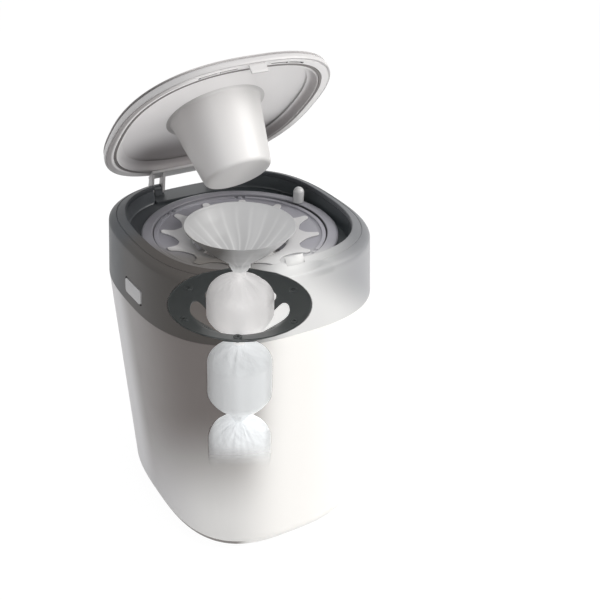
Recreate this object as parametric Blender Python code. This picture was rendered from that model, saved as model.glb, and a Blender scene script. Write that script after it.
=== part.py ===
"""A nappy bin with its lid open: a tapering tub, a lift-off head with a twist ring that
carries the film cassette, a hinged lid with a plunger, and wrapped nappies hanging inside.

Units are metres and +Z is up. The front of the bin faces -Y, and the origin is the middle of
the surface that the bin stands on. The lid is drawn open, as far as LID_OPEN_ANGLE.
"""

import math

import bmesh
import bpy
from mathutils import Matrix, Vector

MM = 0.001
GAP = 0.3 * MM  # left between pieces that touch
OVERRUN = 4 * MM  # by which a cutter passes the wall that it cuts
BITE = 0.4 * MM  # by which a rib or boss sinks into the wall that carries it
QUARTER_TURN = 90.0

# Facets round the curves
PLAN_POINTS = 36
TURNED_POINTS = 32
SMALL_POINTS = 12
SOFT_POINTS = 20

# Tub: a rounded square in plan, with its front wall nearly upright
SEAM_HEIGHT = 283 * MM
SEAM_HALF_WIDTH = 133 * MM
SEAM_HALF_DEPTH = 143 * MM
SEAM_EXPONENT = 2.7
BASE_TAPER_WIDTH = 18 * MM
BASE_TAPER_DEPTH = 8 * MM
BASE_EXPONENT = 3.0
BASE_FILLET = 22 * MM
BASE_RECESS = 2 * MM
FOOT_RING_WIDTH = 12 * MM
TUB_WALL = 2.4 * MM
TUB_FLOOR = 2.6 * MM
SPIGOT_RISE = 8 * MM
SPIGOT_WALL = 1.6 * MM
SPIGOT_FIT = 0.5 * MM
RIM_BAND_HEIGHT = 15 * MM
RIM_BAND_SHOULDER = 7 * MM

# Collar: the casing of the head, with a sloped rim
COLLAR_RISE = 64 * MM
COLLAR_TAPER_WIDTH = 2.9 * MM
COLLAR_TAPER_DEPTH = 6.6 * MM
COLLAR_WALL = 2.5 * MM
SHOULDER_ROUND = 2.2 * MM
GROOVE_INSET = 8 * MM
GROOVE_RISE = 4.8 * MM
GROOVE_WIDTH = 1.1 * MM
GROOVE_DEPTH = 0.8 * MM
LAND_INSET = 17.3 * MM
LAND_RISE = 8.3 * MM
LAND_ROUND = 0.9 * MM
RIM_LIP_DEPTH = 5 * MM
RIM_LIP_THICKNESS = 2.2 * MM
NOTCH_HALF_WIDTH = 42 * MM
NOTCH_REACH = 13 * MM
NOTCH_DEPTH = 8.5 * MM

# Well inside the rim, whose deck carries the twist ring
WELL_DEPTH = 21.3 * MM
WELL_WALL = 2.5 * MM
WELL_DRAFT = 2.4 * MM
WELL_CORNER = 1.8 * MM
WELL_TONGUE_WIDTH = 2.3 * MM
WELL_TONGUE_RISE = 1.2 * MM
DECK_THICKNESS = 2.5 * MM
DECK_HOLE_RADIUS = 103 * MM

# Axis that the ring, cassette and film turn about, set forward of the bin's middle
HEAD_AXIS_Y = -6.4 * MM

# Twist ring and its post
RING_RADIUS = 107 * MM
RING_HEIGHT = 6.2 * MM
RING_CHAMFER = 2.4 * MM
SLEEVE_RADIUS = 96.8 * MM
SLEEVE_WALL = 2.4 * MM
SLEEVE_DROP = 37 * MM
RING_LIP_WIDTH = 4 * MM
RING_LIP_THICKNESS = 2.4 * MM
TOOTH_COUNT = 36
TOOTH_DEPTH = 1.8 * MM
TOOTH_BAND_HEIGHT = 5 * MM
TOOTH_BAND_DROP = 14 * MM
POST_ANGLE = 19.0
POST_RING_RADIUS = 99 * MM
POST_RADIUS = 6.2 * MM
POST_HEIGHT = 18 * MM

# Cassette, its packed film and its cover
CASSETTE_FIT = 0.5 * MM
CASSETTE_WALL = 1.5 * MM
CASSETTE_THROAT_RADIUS = 55 * MM
CASSETTE_OUTER_RISE = 33.7 * MM
CASSETTE_INNER_RISE = 29 * MM
FILM_PACK_MARGIN = 4 * MM
FILM_PACK_HEIGHT = 24 * MM
COVER_BAND_WIDTH = 4.7 * MM
COVER_BAND_RISE = 4.3 * MM
COVER_FALL = 6 * MM
COVER_THICKNESS = 1.4 * MM

# Star plate
STAR_RADIUS = 86 * MM
STAR_THICKNESS = 1.2 * MM
STAR_THROAT_RADIUS = 52.4 * MM
STAR_THROAT_DROP = 16 * MM
STAR_FINGER_COUNT = 12
STAR_FINGER_TIP = 7 * MM
STAR_GAP_ROOT_RADIUS = 67 * MM
STAR_GAP_ROUND = 9 * MM

# Film funnel: rim and neck
FUNNEL_RIM_RADIUS = 61 * MM
FUNNEL_RIM_RISE = 5.4 * MM
FUNNEL_WALL = 0.9 * MM
NECK_RADIUS = 7.5 * MM

# Cassette tray under the deck
TRAY_RADIUS = 101.5 * MM
TRAY_WALL = 2 * MM
TRAY_FLANGE_RADIUS = 108.5 * MM
TRAY_FLANGE_THICKNESS = 2.2 * MM
TRAY_DEPTH = 40.4 * MM
TRAY_FLOOR = 2.4 * MM
TRAY_HOLE_RADIUS = 56.5 * MM
RING_POST_COUNT = 6
RING_POST_CIRCLE = 71 * MM
RING_POST_RADIUS = 4 * MM
RING_POST_BORE = 1.8 * MM

# Finger ring
BRIM_RADIUS = 82.6 * MM
BRIM_DROP = 41.8 * MM
BRIM_THICKNESS = 2 * MM
BRIM_FALL = 7.5 * MM
FINGER_ROOT_RADIUS = 57 * MM
FINGER_TIP_RADIUS = 21 * MM
FINGER_DROP = 32 * MM
FINGER_ROOT_WIDTH = 13 * MM
FINGER_TIP_WIDTH = 5 * MM
FINGER_COUNT = 6
FINGER_PAD_RADIUS = 5 * MM
SCREW_RADIUS = 1.5 * MM
SCREW_HEAD_RADIUS = 3.2 * MM
SCREW_HEAD_HEIGHT = 1.8 * MM
SCREW_LENGTH = 12 * MM

# Click pawl outside the tray, reaching in through a window
PAWL_ANGLE = 90.0
PAWL_SWEEP = 24.0
PAWL_TIP_SWEEP = 3.0
PAWL_THICKNESS = 1.6 * MM
PAWL_HEIGHT = 6 * MM
PAWL_CLEARANCE = 0.4 * MM
PAWL_WINDOW_MARGIN = 1.5 * MM

# Nappy parcels, twisted off one from the next
PARCEL_RADIUS = 39.5 * MM
PARCEL_NECK_DROP = 14.2 * MM
PARCEL_MIDDLE_SHARE = 0.58
PARCEL_SHOULDER = 26 * MM
PARCEL_FOOT = 39 * MM
PARCEL_REST_RADIUS = 24.5 * MM
PARCEL_REST_FOOT = 17 * MM
NECK_SHARES = ((0.13, 0.30), (0.35, 0.66), (1.0, 1.0))
DRAWN_FOOT_SHARES = ((1.0, 1.0), (0.72, 0.80), (0.5, 0.5), (0.32, 0.27), (0.12, 0.10))
SETTLED_FOOT_SHARES = ((1.0, 1.0), (0.45, 0.82), (0.12, 0.4))

# Lid
LID_INSET_WIDTH = 8.3 * MM
LID_INSET_DEPTH = 11.4 * MM
LID_EXPONENT = 2.53
LID_CLEARANCE = 0.7 * MM
LID_DOME_RISE = 24 * MM
LID_EDGE_HEIGHT = 7.8 * MM
LID_EDGE_ROUND = 3 * MM
LID_SHELL_WALL = 2.2 * MM
LINER_WALL = 2 * MM
LINER_FLANGE = 7.4 * MM
SEAL_GROOVE_WIDTH = 3.2 * MM
SEAL_GROOVE_DEPTH = 3 * MM
SEAL_FIT = 0.3 * MM
LINER_LEDGE = 1.9 * MM
DISH_DEPTH = 10.2 * MM
DISH_WALL_WIDTH = 12 * MM
LINER_HOLE_RADIUS = 46 * MM
SLOT_INSET = 6.2 * MM
SLOT_WIDTH = 2.2 * MM
SLOT_SPANS = ((18.5 * MM, 37.5 * MM), (40 * MM, 58 * MM))

# Plunger
PLUNGER_FLANGE_RADIUS = 58 * MM
PLUNGER_FLANGE_THICKNESS = 1.2 * MM
PLUNGER_TOP_RADIUS = 48.6 * MM
PLUNGER_BASE_RADIUS = 38 * MM
PLUNGER_REACH = 65 * MM
PLUNGER_WALL = 2 * MM
PLUNGER_ROOT_FILLET = 8 * MM
PLUNGER_BASE_FILLET = 7 * MM

# Lid catch and the slot that it drops into
CATCH_HALF_WIDTH = 9 * MM
CATCH_THICKNESS = 2 * MM
CATCH_LENGTH = 9 * MM
CATCH_BARB = 0.8 * MM
CATCH_BARB_HEIGHT = 3 * MM
CATCH_SLOT_MARGIN = 1.2 * MM

# Lid hinge
LID_OPEN_ANGLE = 44.4
HINGE_INSET = 5 * MM
HINGE_DROP = 12.3 * MM
HINGE_PIN_RADIUS = 2 * MM
HINGE_BORE_FIT = 0.25 * MM
HINGE_LUG_CENTRE = 37.5 * MM
HINGE_LUG_WIDTH = 9 * MM
HINGE_LUG_RADIUS = 5.2 * MM
HINGE_LUG_START = -8.0
HINGE_LUG_END = 188.0
HINGE_SIDE_GAP = 1 * MM
PRONG_WIDTH = 3 * MM
PRONG_EYE_RADIUS = 5.5 * MM
PRONG_EYE_START = 70.0
PRONG_EYE_END = -150.0
BRACKET_DEPTH = 17.5 * MM
BRACKET_THICKNESS = 2.8 * MM
BRACKET_EDGE_INSET = 1.6 * MM
HOUSING_MARGIN = 1.6 * MM
HOUSING_FRONT_REACH = 23 * MM
HOUSING_THICKNESS = 2.4 * MM

# Release buttons in the collar's sides
BUTTON_CENTRE_Y = -16 * MM
BUTTON_CENTRE_RISE = 20 * MM
BUTTON_WIDTH = 40 * MM
BUTTON_HEIGHT = 18 * MM
BUTTON_CORNER = 4 * MM
BUTTON_FIT = 0.4 * MM
BUTTON_PROUD = 0.8 * MM
BUTTON_FLANGE_MARGIN = 2 * MM
BUTTON_FLANGE_THICKNESS = 1.5 * MM
BUTTON_FLANGE_INSET = 5.7 * MM
BUTTON_BOSS_RADIUS = 2.6 * MM
BUTTON_BOSS_LENGTH = 3 * MM
CATCH_ARM_WIDTH = 16 * MM
CATCH_ARM_THICKNESS = 2.2 * MM
CATCH_ARM_DROP = 27 * MM
CATCH_ARM_BARB = 0.7 * MM
SPRING_ROOM = 14.7 * MM
SPRING_SEAT_THICKNESS = 2.4 * MM
SPRING_SEAT_HALF_WIDTH = 8 * MM
SPRING_SEAT_DROP = 7 * MM
SPRING_RADIUS = 4 * MM
SPRING_WIRE_RADIUS = 0.5 * MM
SPRING_TURNS = 4
SPRING_STEPS = 8

# Plan sizes that follow. The base slides back as it narrows, so the front stays upright.
BASE_HALF_WIDTH = SEAM_HALF_WIDTH - BASE_TAPER_WIDTH
BASE_HALF_DEPTH = SEAM_HALF_DEPTH - BASE_TAPER_DEPTH
BASE_SHIFT = BASE_HALF_DEPTH - SEAM_HALF_DEPTH
SHOULDER_HALF_WIDTH = SEAM_HALF_WIDTH - COLLAR_TAPER_WIDTH
SHOULDER_HALF_DEPTH = SEAM_HALF_DEPTH - COLLAR_TAPER_DEPTH
LID_HALF_WIDTH = SHOULDER_HALF_WIDTH - LID_INSET_WIDTH
LID_HALF_DEPTH = SHOULDER_HALF_DEPTH - LID_INSET_DEPTH
HINGE_Y = SHOULDER_HALF_DEPTH - HINGE_INSET
BUTTON_FLANGE_X = SEAM_HALF_WIDTH - BUTTON_FLANGE_INSET
SPRING_SEAT_X = BUTTON_FLANGE_X - SPRING_ROOM

# Heights that follow
SHOULDER_HEIGHT = SEAM_HEIGHT + COLLAR_RISE
RIM_TOP = SHOULDER_HEIGHT + LAND_RISE
DECK_TOP = RIM_TOP - WELL_DEPTH
DECK_UNDERSIDE = DECK_TOP - DECK_THICKNESS
RING_SEAT = DECK_TOP + GAP
RING_TOP = RING_SEAT + RING_HEIGHT
SLEEVE_BOTTOM = RING_SEAT - SLEEVE_DROP
CASSETTE_BOTTOM = SLEEVE_BOTTOM + RING_LIP_THICKNESS + GAP
COVER_SEAT = CASSETTE_BOTTOM + CASSETTE_OUTER_RISE + GAP
LID_UNDERSIDE = RIM_TOP + LID_CLEARANCE
HINGE_HEIGHT = RIM_TOP - HINGE_DROP
FLOOR_TOP = BASE_RECESS + TUB_FLOOR
NECK_HEIGHT = DECK_UNDERSIDE - GAP - TRAY_DEPTH
BRIM_HEIGHT = NECK_HEIGHT - BRIM_DROP
PARCEL_TOP_LENGTH = BRIM_DROP + BRIM_FALL + FINGER_DROP + PARCEL_NECK_DROP
BUTTON_HEIGHT_ABOVE_FLOOR = SEAM_HEIGHT + BUTTON_CENTRE_RISE

TUB_WHITE = (0.80, 0.78, 0.75)
COLLAR_GREY = (0.20, 0.22, 0.24)
SLATE = (0.07, 0.08, 0.08)
RING_LAVENDER = (0.36, 0.35, 0.40)
LID_WHITE = (0.72, 0.70, 0.70)
GLOSS_WHITE = (0.82, 0.80, 0.80)
FILM_WHITE = (0.85, 0.85, 0.85)
SEAL_GREY = (0.12, 0.11, 0.11)
BUTTON_GREY = (0.55, 0.56, 0.58)
STEEL = (0.60, 0.60, 0.62)


def clear_scene():
    for item in list(bpy.data.objects):
        bpy.data.objects.remove(item)


def finish(name, colour, roughness=0.45, metallic=0.0):
    """A Principled material, made once for each name."""
    material = bpy.data.materials.get(name)
    if material is None:
        material = bpy.data.materials.new(name)
        material.use_nodes = True
        shader = material.node_tree.nodes["Principled BSDF"]
        shader.inputs["Base Color"].default_value = (*colour, 1)
        shader.inputs["Roughness"].default_value = roughness
        shader.inputs["Metallic"].default_value = metallic
    return material


def loft(name, rings, material=None, closed=False):
    """A solid skinned over rings of points. A closed loft runs back to its first ring, as the
    wall of a tube does. An open one ends in flat faces, or in the point of a one-point ring."""
    mesh = bmesh.new()
    loops = [[mesh.verts.new(point) for point in ring] for ring in rings]
    pairs = list(zip(loops, loops[1:]))
    if closed:
        pairs.append((loops[-1], loops[0]))
    for lower, upper in pairs:
        count = max(len(lower), len(upper))
        for here in range(count):
            there = (here + 1) % count
            corners = [
                lower[here % len(lower)],
                lower[there % len(lower)],
                upper[there % len(upper)],
                upper[here % len(upper)],
            ]
            mesh.faces.new(list(dict.fromkeys(corners)))
    if not closed:
        for end in (loops[0], loops[-1]):
            if len(end) > 1:
                mesh.faces.new(end)
    bmesh.ops.recalc_face_normals(mesh, faces=mesh.faces[:])
    data = bpy.data.meshes.new(name)
    mesh.to_mesh(data)
    mesh.free()
    data.shade_smooth()
    data.set_sharp_from_angle(angle=math.radians(30))
    piece = bpy.data.objects.new(name, data)
    bpy.context.scene.collection.objects.link(piece)
    if material:
        data.materials.append(material)
    return piece


def circle(radius, height, points=TURNED_POINTS, centre=(0, HEAD_AXIS_Y)):
    """A level ring round a vertical axis, or one point where the radius is zero."""
    if radius == 0:
        return [Vector((centre[0], centre[1], height))]
    turns = [2 * math.pi * step / points for step in range(points)]
    return [
        Vector((centre[0] + radius * math.cos(turn), centre[1] + radius * math.sin(turn), height))
        for turn in turns
    ]


def turned(name, profile, material=None, points=TURNED_POINTS, centre=(0, HEAD_AXIS_Y)):
    """A solid turned from a profile of (radius, height) pairs. It is a ring where the profile
    keeps clear of the axis, and solid through the middle where the profile meets it."""
    rings = [circle(radius, height, points, centre) for radius, height in profile]
    on_axis = profile[0][0] == 0 or profile[-1][0] == 0
    return loft(name, rings, material, closed=not on_axis)


def superellipse(half_width, half_depth, exponent, height, shift=0.0):
    """A level rounded-square ring, with its points at even angles."""
    ring = []
    for step in range(PLAN_POINTS):
        turn = 2 * math.pi * step / PLAN_POINTS
        across, along = math.cos(turn), math.sin(turn)
        sides = abs(across / half_width) ** exponent + abs(along / half_depth) ** exponent
        reach = sides ** (-1 / exponent)
        ring.append(Vector((reach * across, shift + reach * along, height)))
    return ring


def prism(name, outline, axis, low, high, material=None):
    """An outline of (u, v) pairs, extruded along X (as y, z), Y (as x, z) or Z (as x, y)."""
    place = {
        "X": lambda u, v, w: Vector((w, u, v)),
        "Y": lambda u, v, w: Vector((u, w, v)),
        "Z": lambda u, v, w: Vector((u, v, w)),
    }[axis]
    rings = [[place(u, v, level) for u, v in outline] for level in (low, high)]
    return loft(name, rings, material)


def box(name, low, high, material=None):
    corners = [(low[0], low[1]), (high[0], low[1]), (high[0], high[1]), (low[0], high[1])]
    return prism(name, corners, "Z", low[2], high[2], material)


def rod(name, radius, axis, centre, low, high, material=None, points=SMALL_POINTS):
    """A round bar along X, Y or Z, whose centre is given across that axis."""
    turns = [2 * math.pi * step / points for step in range(points)]
    outline = [(centre[0] + radius * math.cos(t), centre[1] + radius * math.sin(t)) for t in turns]
    return prism(name, outline, axis, low, high, material)


def arc(radius, start, end, steps, centre=(0, 0)):
    """Points of a round stretch, from start to end in degrees."""
    turns = [math.radians(start + (end - start) * step / steps) for step in range(steps + 1)]
    return [(centre[0] + radius * math.cos(t), centre[1] + radius * math.sin(t)) for t in turns]


def rounded_rectangle(width, height, corner, centre=(0, 0), steps=4):
    across, up = width / 2 - corner, height / 2 - corner
    outline = []
    for quarter, (right, top) in enumerate(((1, 1), (-1, 1), (-1, -1), (1, -1))):
        middle = (centre[0] + right * across, centre[1] + top * up)
        turn = quarter * QUARTER_TURN
        outline += arc(corner, turn, turn + QUARTER_TURN, steps, middle)
    return outline


def combine(target, other, operation):
    """Cuts or joins other into target, and leaves other as a hidden guide."""
    modifier = target.modifiers.new(other.name, "BOOLEAN")
    modifier.operation = operation
    modifier.solver = "EXACT"
    modifier.object = other
    other.hide_render = True
    other.display_type = "WIRE"
    return target


def cut(target, *cutters):
    for cutter in cutters:
        combine(target, cutter, "DIFFERENCE")


def join(target, *pieces):
    for piece in pieces:
        combine(target, piece, "UNION")


def spread(name, make, count, start=0.0, centre=(0, HEAD_AXIS_Y)):
    """Copies of one solid at even angles round a vertical axis, as one object."""
    pattern = make(name)
    middle = Vector((centre[0], centre[1], 0))
    mesh = bmesh.new()
    for step in range(count):
        turn = Matrix.Rotation(math.radians(start + 360 * step / count), 4, "Z")
        copy = pattern.data.copy()
        copy.transform(Matrix.Translation(middle) @ turn @ Matrix.Translation(-middle))
        mesh.from_mesh(copy)
        bpy.data.meshes.remove(copy)
    mesh.to_mesh(pattern.data)
    mesh.free()
    return pattern


def pivot(name, location):
    axis = bpy.data.objects.new(name, None)
    axis.location = location
    bpy.context.scene.collection.objects.link(axis)
    return axis


def carry(axis, pieces):
    """Hangs pieces on an axis, with each mesh kept where it was drawn when the axis is unturned."""
    for piece in pieces:
        piece.data.transform(Matrix.Translation(-axis.location))
        piece.parent = axis


def tub_ring(height, inset=0.0):
    """The tub's outline at a height, moved inwards by an inset."""
    share = max(0.0, (height - BASE_FILLET) / (SEAM_HEIGHT - BASE_FILLET))
    return superellipse(
        BASE_HALF_WIDTH + (SEAM_HALF_WIDTH - BASE_HALF_WIDTH) * share - inset,
        BASE_HALF_DEPTH + (SEAM_HALF_DEPTH - BASE_HALF_DEPTH) * share - inset,
        BASE_EXPONENT + (SEAM_EXPONENT - BASE_EXPONENT) * share,
        height,
        BASE_SHIFT * (1 - share),
    )


def collar_halves(height):
    """The collar's half width and half depth, which shrink up to its shoulder."""
    share = min(1.0, (height - SEAM_HEIGHT) / COLLAR_RISE)
    return (
        SEAM_HALF_WIDTH + (SHOULDER_HALF_WIDTH - SEAM_HALF_WIDTH) * share,
        SEAM_HALF_DEPTH + (SHOULDER_HALF_DEPTH - SEAM_HALF_DEPTH) * share,
    )


def collar_ring(height, inset=0.0):
    half_width, half_depth = collar_halves(height)
    return superellipse(half_width - inset, half_depth - inset, SEAM_EXPONENT, height)


def collar_side(along, height, inset=0.0):
    """How far out in X the collar's side wall stands, at a place along Y."""
    half_width, half_depth = collar_halves(height)
    share = 1 - (abs(along) / (half_depth - inset)) ** SEAM_EXPONENT
    return (half_width - inset) * share ** (1 / SEAM_EXPONENT)


def collar_back(across, height, inset=0.0):
    """How far back in Y the collar's rear wall stands, at a place along X."""
    half_width, half_depth = collar_halves(height)
    share = 1 - (abs(across) / (half_width - inset)) ** SEAM_EXPONENT
    return (half_depth - inset) * share ** (1 / SEAM_EXPONENT)


def lid_ring(inset, rise):
    return superellipse(
        LID_HALF_WIDTH - inset, LID_HALF_DEPTH - inset, LID_EXPONENT, LID_UNDERSIDE + rise
    )


def lid_front(across, inset):
    """The lid's front edge in Y, at a place along X."""
    share = 1 - (abs(across) / (LID_HALF_WIDTH - inset)) ** LID_EXPONENT
    return -(LID_HALF_DEPTH - inset) * share ** (1 / LID_EXPONENT)


def make_tub():
    """The tub: a foot ring, a filleted base, tapering walls, and a stepped spigot at the top
    that the collar slips over."""
    inner_fillet = BASE_FILLET - FLOOR_TOP
    spigot_inset = COLLAR_WALL + SPIGOT_FIT
    spigot_top = SEAM_HEIGHT + SPIGOT_RISE
    foot_inner = BASE_FILLET + FOOT_RING_WIDTH
    rings = [tub_ring(BASE_RECESS, foot_inner + BASE_RECESS), tub_ring(0, foot_inner)]
    for turn in (90, 60, 30, 0):
        slope = math.radians(turn)
        inset = BASE_FILLET * (1 - math.cos(slope))
        rings.append(tub_ring(BASE_FILLET * (1 - math.sin(slope)), inset))
    shelf = SEAM_HEIGHT - GAP
    rings += [tub_ring(shelf), tub_ring(shelf, spigot_inset)]
    rings += [collar_ring(spigot_top, spigot_inset)]
    rings += [collar_ring(spigot_top, spigot_inset + SPIGOT_WALL)]
    rings.append(tub_ring(SEAM_HEIGHT - RIM_BAND_SHOULDER, spigot_inset + SPIGOT_WALL))
    rings.append(tub_ring(SEAM_HEIGHT - RIM_BAND_HEIGHT, TUB_WALL))
    for turn in (0, 45, 90):
        slope = math.radians(turn)
        inset = TUB_WALL + inner_fillet * (1 - math.cos(slope))
        rings.append(tub_ring(BASE_FILLET - inner_fillet * math.sin(slope), inset))
    return loft("tub", rings, finish("tub_white", TUB_WHITE, 0.4))


def make_collar():
    """The head's casing: outer wall, rounded shoulder and grooved rim, with a lip inside that
    the well tucks under. It has a finger notch, button windows and a gap for the hinge."""
    groove_height = SHOULDER_HEIGHT + GROOVE_RISE
    groove_floor = groove_height - GROOVE_DEPTH
    groove_inner = GROOVE_INSET + GROOVE_WIDTH
    lip_inset = LAND_INSET + LAND_ROUND
    lip_bottom = RIM_TOP - RIM_LIP_DEPTH
    land_slope = (LAND_RISE - GROOVE_RISE) / (LAND_INSET - GROOVE_INSET)
    rings = [
        collar_ring(SEAM_HEIGHT),
        collar_ring(SHOULDER_HEIGHT - SHOULDER_ROUND),
        collar_ring(SHOULDER_HEIGHT - SHOULDER_ROUND * 0.3, SHOULDER_ROUND * 0.3),
        collar_ring(SHOULDER_HEIGHT + SHOULDER_ROUND * 0.3, SHOULDER_ROUND),
        collar_ring(groove_height, GROOVE_INSET),
        collar_ring(groove_floor, GROOVE_INSET + GROOVE_WIDTH * 0.2),
        collar_ring(groove_floor, GROOVE_INSET + GROOVE_WIDTH * 0.8),
        collar_ring(groove_height + land_slope * GROOVE_WIDTH, groove_inner),
        collar_ring(RIM_TOP, LAND_INSET),
        collar_ring(RIM_TOP - LAND_ROUND, lip_inset),
        collar_ring(lip_bottom, lip_inset),
        collar_ring(lip_bottom, lip_inset - RIM_LIP_THICKNESS),
        collar_ring(RIM_TOP - COLLAR_WALL, lip_inset - RIM_LIP_THICKNESS),
        collar_ring(groove_floor - COLLAR_WALL * 0.7, GROOVE_INSET),
        collar_ring(SHOULDER_HEIGHT - COLLAR_WALL, COLLAR_WALL),
        collar_ring(SEAM_HEIGHT, COLLAR_WALL),
    ]
    collar = loft("collar", rings, finish("collar_grey", COLLAR_GREY), closed=True)
    cut(collar, make_finger_notch(), make_hinge_gap(), make_catch_slot())
    for side in (-1, 1):
        cut(collar, make_button_window(side))
    return collar


def make_well_frame():
    """The dark well inside the rim: a tongue behind the collar's lip, a drafted wall, and the
    deck that the twist ring runs on, with ribs below it for the button springs."""
    top = RIM_TOP - RIM_LIP_DEPTH - GAP
    face = LAND_INSET + LAND_ROUND
    foot = face + WELL_DRAFT
    tongue = face - RIM_LIP_THICKNESS - GAP
    outer_tongue = tongue - WELL_TONGUE_WIDTH
    rings = [
        collar_ring(top, face),
        collar_ring(DECK_TOP + WELL_CORNER, foot),
        collar_ring(DECK_TOP, foot + WELL_CORNER * 0.6),
        circle(DECK_HOLE_RADIUS, DECK_TOP, PLAN_POINTS),
        circle(DECK_HOLE_RADIUS, DECK_UNDERSIDE, PLAN_POINTS),
        collar_ring(DECK_UNDERSIDE, foot - WELL_WALL),
        collar_ring(top - WELL_TONGUE_WIDTH * 2, tongue + GAP),
        collar_ring(top - WELL_TONGUE_WIDTH, outer_tongue),
        collar_ring(top + WELL_TONGUE_RISE, outer_tongue),
        collar_ring(top + WELL_TONGUE_RISE, tongue),
        collar_ring(top, tongue),
    ]
    well = loft("well_frame", rings, finish("slate", SLATE, 0.4), closed=True)
    for side in (-1, 1):
        join(well, make_spring_seat(side))
    cut(well, bpy.data.objects["hinge_gap_cutter"], bpy.data.objects["catch_slot_cutter"])
    return well


def make_finger_notch():
    """A dished cutter at the front of the rim, where fingers reach under the lid."""
    rings = []
    steps = 6
    for step in range(steps + 1):
        turn = math.radians(-90 + 180 * step / steps)
        reach = math.cos(turn) if 0 < step < steps else 0
        height = RIM_TOP + NOTCH_DEPTH * math.sin(turn)
        middle = -SHOULDER_HALF_DEPTH
        if reach == 0:
            rings.append([Vector((0, middle, height))])
            continue
        turns = [2 * math.pi * place / TURNED_POINTS for place in range(TURNED_POINTS)]
        rings.append(
            [
                Vector((
                    NOTCH_HALF_WIDTH * reach * math.cos(t),
                    middle + NOTCH_REACH * reach * math.sin(t),
                    height,
                ))
                for t in turns
            ]
        )
    return loft("finger_notch_cutter", rings)


def hinge_gap_half_width():
    return HINGE_LUG_CENTRE + HINGE_LUG_WIDTH / 2 + HINGE_SIDE_GAP + PRONG_WIDTH + HOUSING_MARGIN


def make_hinge_gap():
    """The gap in the rear rim that the hinge sits in, open at the back and towards the well."""
    half = hinge_gap_half_width()
    front = HINGE_Y - HOUSING_FRONT_REACH - GAP
    low = (-half, front, DECK_TOP + GAP)
    high = (half, SEAM_HALF_DEPTH + OVERRUN, RIM_TOP + OVERRUN)
    return box("hinge_gap_cutter", low, high)


def catch_front():
    """The Y place of the lid catch's front face when the lid is shut."""
    return -(LID_HALF_DEPTH - LID_SHELL_WALL)


def make_catch_slot():
    """The slot in the rim's land that the lid catch drops into."""
    half = CATCH_HALF_WIDTH + CATCH_SLOT_MARGIN
    front = catch_front() - CATCH_BARB - CATCH_SLOT_MARGIN / 2
    back = catch_front() + CATCH_THICKNESS + CATCH_SLOT_MARGIN
    height = SHOULDER_HEIGHT - COLLAR_WALL * 3
    return box("catch_slot_cutter", (-half, front, height), (half, back, RIM_TOP + OVERRUN))


def button_outline(margin=0.0):
    return rounded_rectangle(
        BUTTON_WIDTH + 2 * margin,
        BUTTON_HEIGHT + 2 * margin,
        BUTTON_CORNER,
        (BUTTON_CENTRE_Y, BUTTON_HEIGHT_ABOVE_FLOOR),
    )


def make_button_window(side):
    low, high = sorted((side * BUTTON_FLANGE_X, side * (SEAM_HALF_WIDTH + OVERRUN)))
    name = "button_window_cutter_left" if side < 0 else "button_window_cutter_right"
    return prism(name, button_outline(BUTTON_FIT), "X", low, high)


def make_spring_seat(side):
    """A rib under the deck that the button's spring pushes against."""
    near, far = sorted((side * SPRING_SEAT_X, side * (SPRING_SEAT_X - SPRING_SEAT_THICKNESS)))
    name = "spring_seat_left" if side < 0 else "spring_seat_right"
    low_y = BUTTON_CENTRE_Y - SPRING_SEAT_HALF_WIDTH
    high_y = BUTTON_CENTRE_Y + SPRING_SEAT_HALF_WIDTH
    bottom = BUTTON_HEIGHT_ABOVE_FLOOR - SPRING_SEAT_DROP
    return box(name, (near, low_y, bottom), (far, high_y, DECK_TOP - BITE))


def make_twist_ring():
    """The ring that turns: a flange that runs on the deck, and a sleeve with ratchet teeth
    outside and a lip inside that carries the cassette."""
    inner = SLEEVE_RADIUS - SLEEVE_WALL
    lip = inner - RING_LIP_WIDTH
    profile = [
        (RING_RADIUS, RING_SEAT),
        (RING_RADIUS, RING_TOP - RING_CHAMFER),
        (RING_RADIUS - RING_CHAMFER * 0.5, RING_TOP - RING_CHAMFER * 0.3),
        (RING_RADIUS - RING_CHAMFER * 1.2, RING_TOP),
        (inner + RING_CHAMFER * 0.5, RING_TOP),
        (inner, RING_TOP - RING_CHAMFER * 0.4),
        (inner, SLEEVE_BOTTOM + RING_LIP_THICKNESS),
        (lip, SLEEVE_BOTTOM + RING_LIP_THICKNESS),
        (lip, SLEEVE_BOTTOM),
        (SLEEVE_RADIUS, SLEEVE_BOTTOM),
        (SLEEVE_RADIUS, RING_SEAT),
    ]
    ring = turned("twist_ring", profile, finish("ring_lavender", RING_LAVENDER, 0.35))
    join(ring, make_ratchet_teeth())
    return ring


def make_ratchet_teeth():
    """A band of saw teeth round the sleeve."""
    top = RING_SEAT - TOOTH_BAND_DROP
    root, tip = SLEEVE_RADIUS - BITE, SLEEVE_RADIUS + TOOTH_DEPTH
    inner = SLEEVE_RADIUS - SLEEVE_WALL * 0.6
    rings = []
    for height, radii in ((top, (inner, inner)), (top, (root, tip))):
        rings.append(saw_ring(radii, height))
    for height, radii in ((top, (root, tip)), (top, (inner, inner))):
        rings.append(saw_ring(radii, height - TOOTH_BAND_HEIGHT))
    return loft("ratchet_teeth", rings, closed=True)


def saw_ring(radii, height):
    """Two points for each tooth: the root, and close behind it the tip."""
    ring = []
    for tooth in range(TOOTH_COUNT):
        for radius, share in zip(radii, (0.0, 0.15)):
            turn = 2 * math.pi * (tooth + share) / TOOTH_COUNT
            across, along = radius * math.cos(turn), radius * math.sin(turn)
            ring.append(Vector((across, HEAD_AXIS_Y + along, height)))
    return ring


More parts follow.
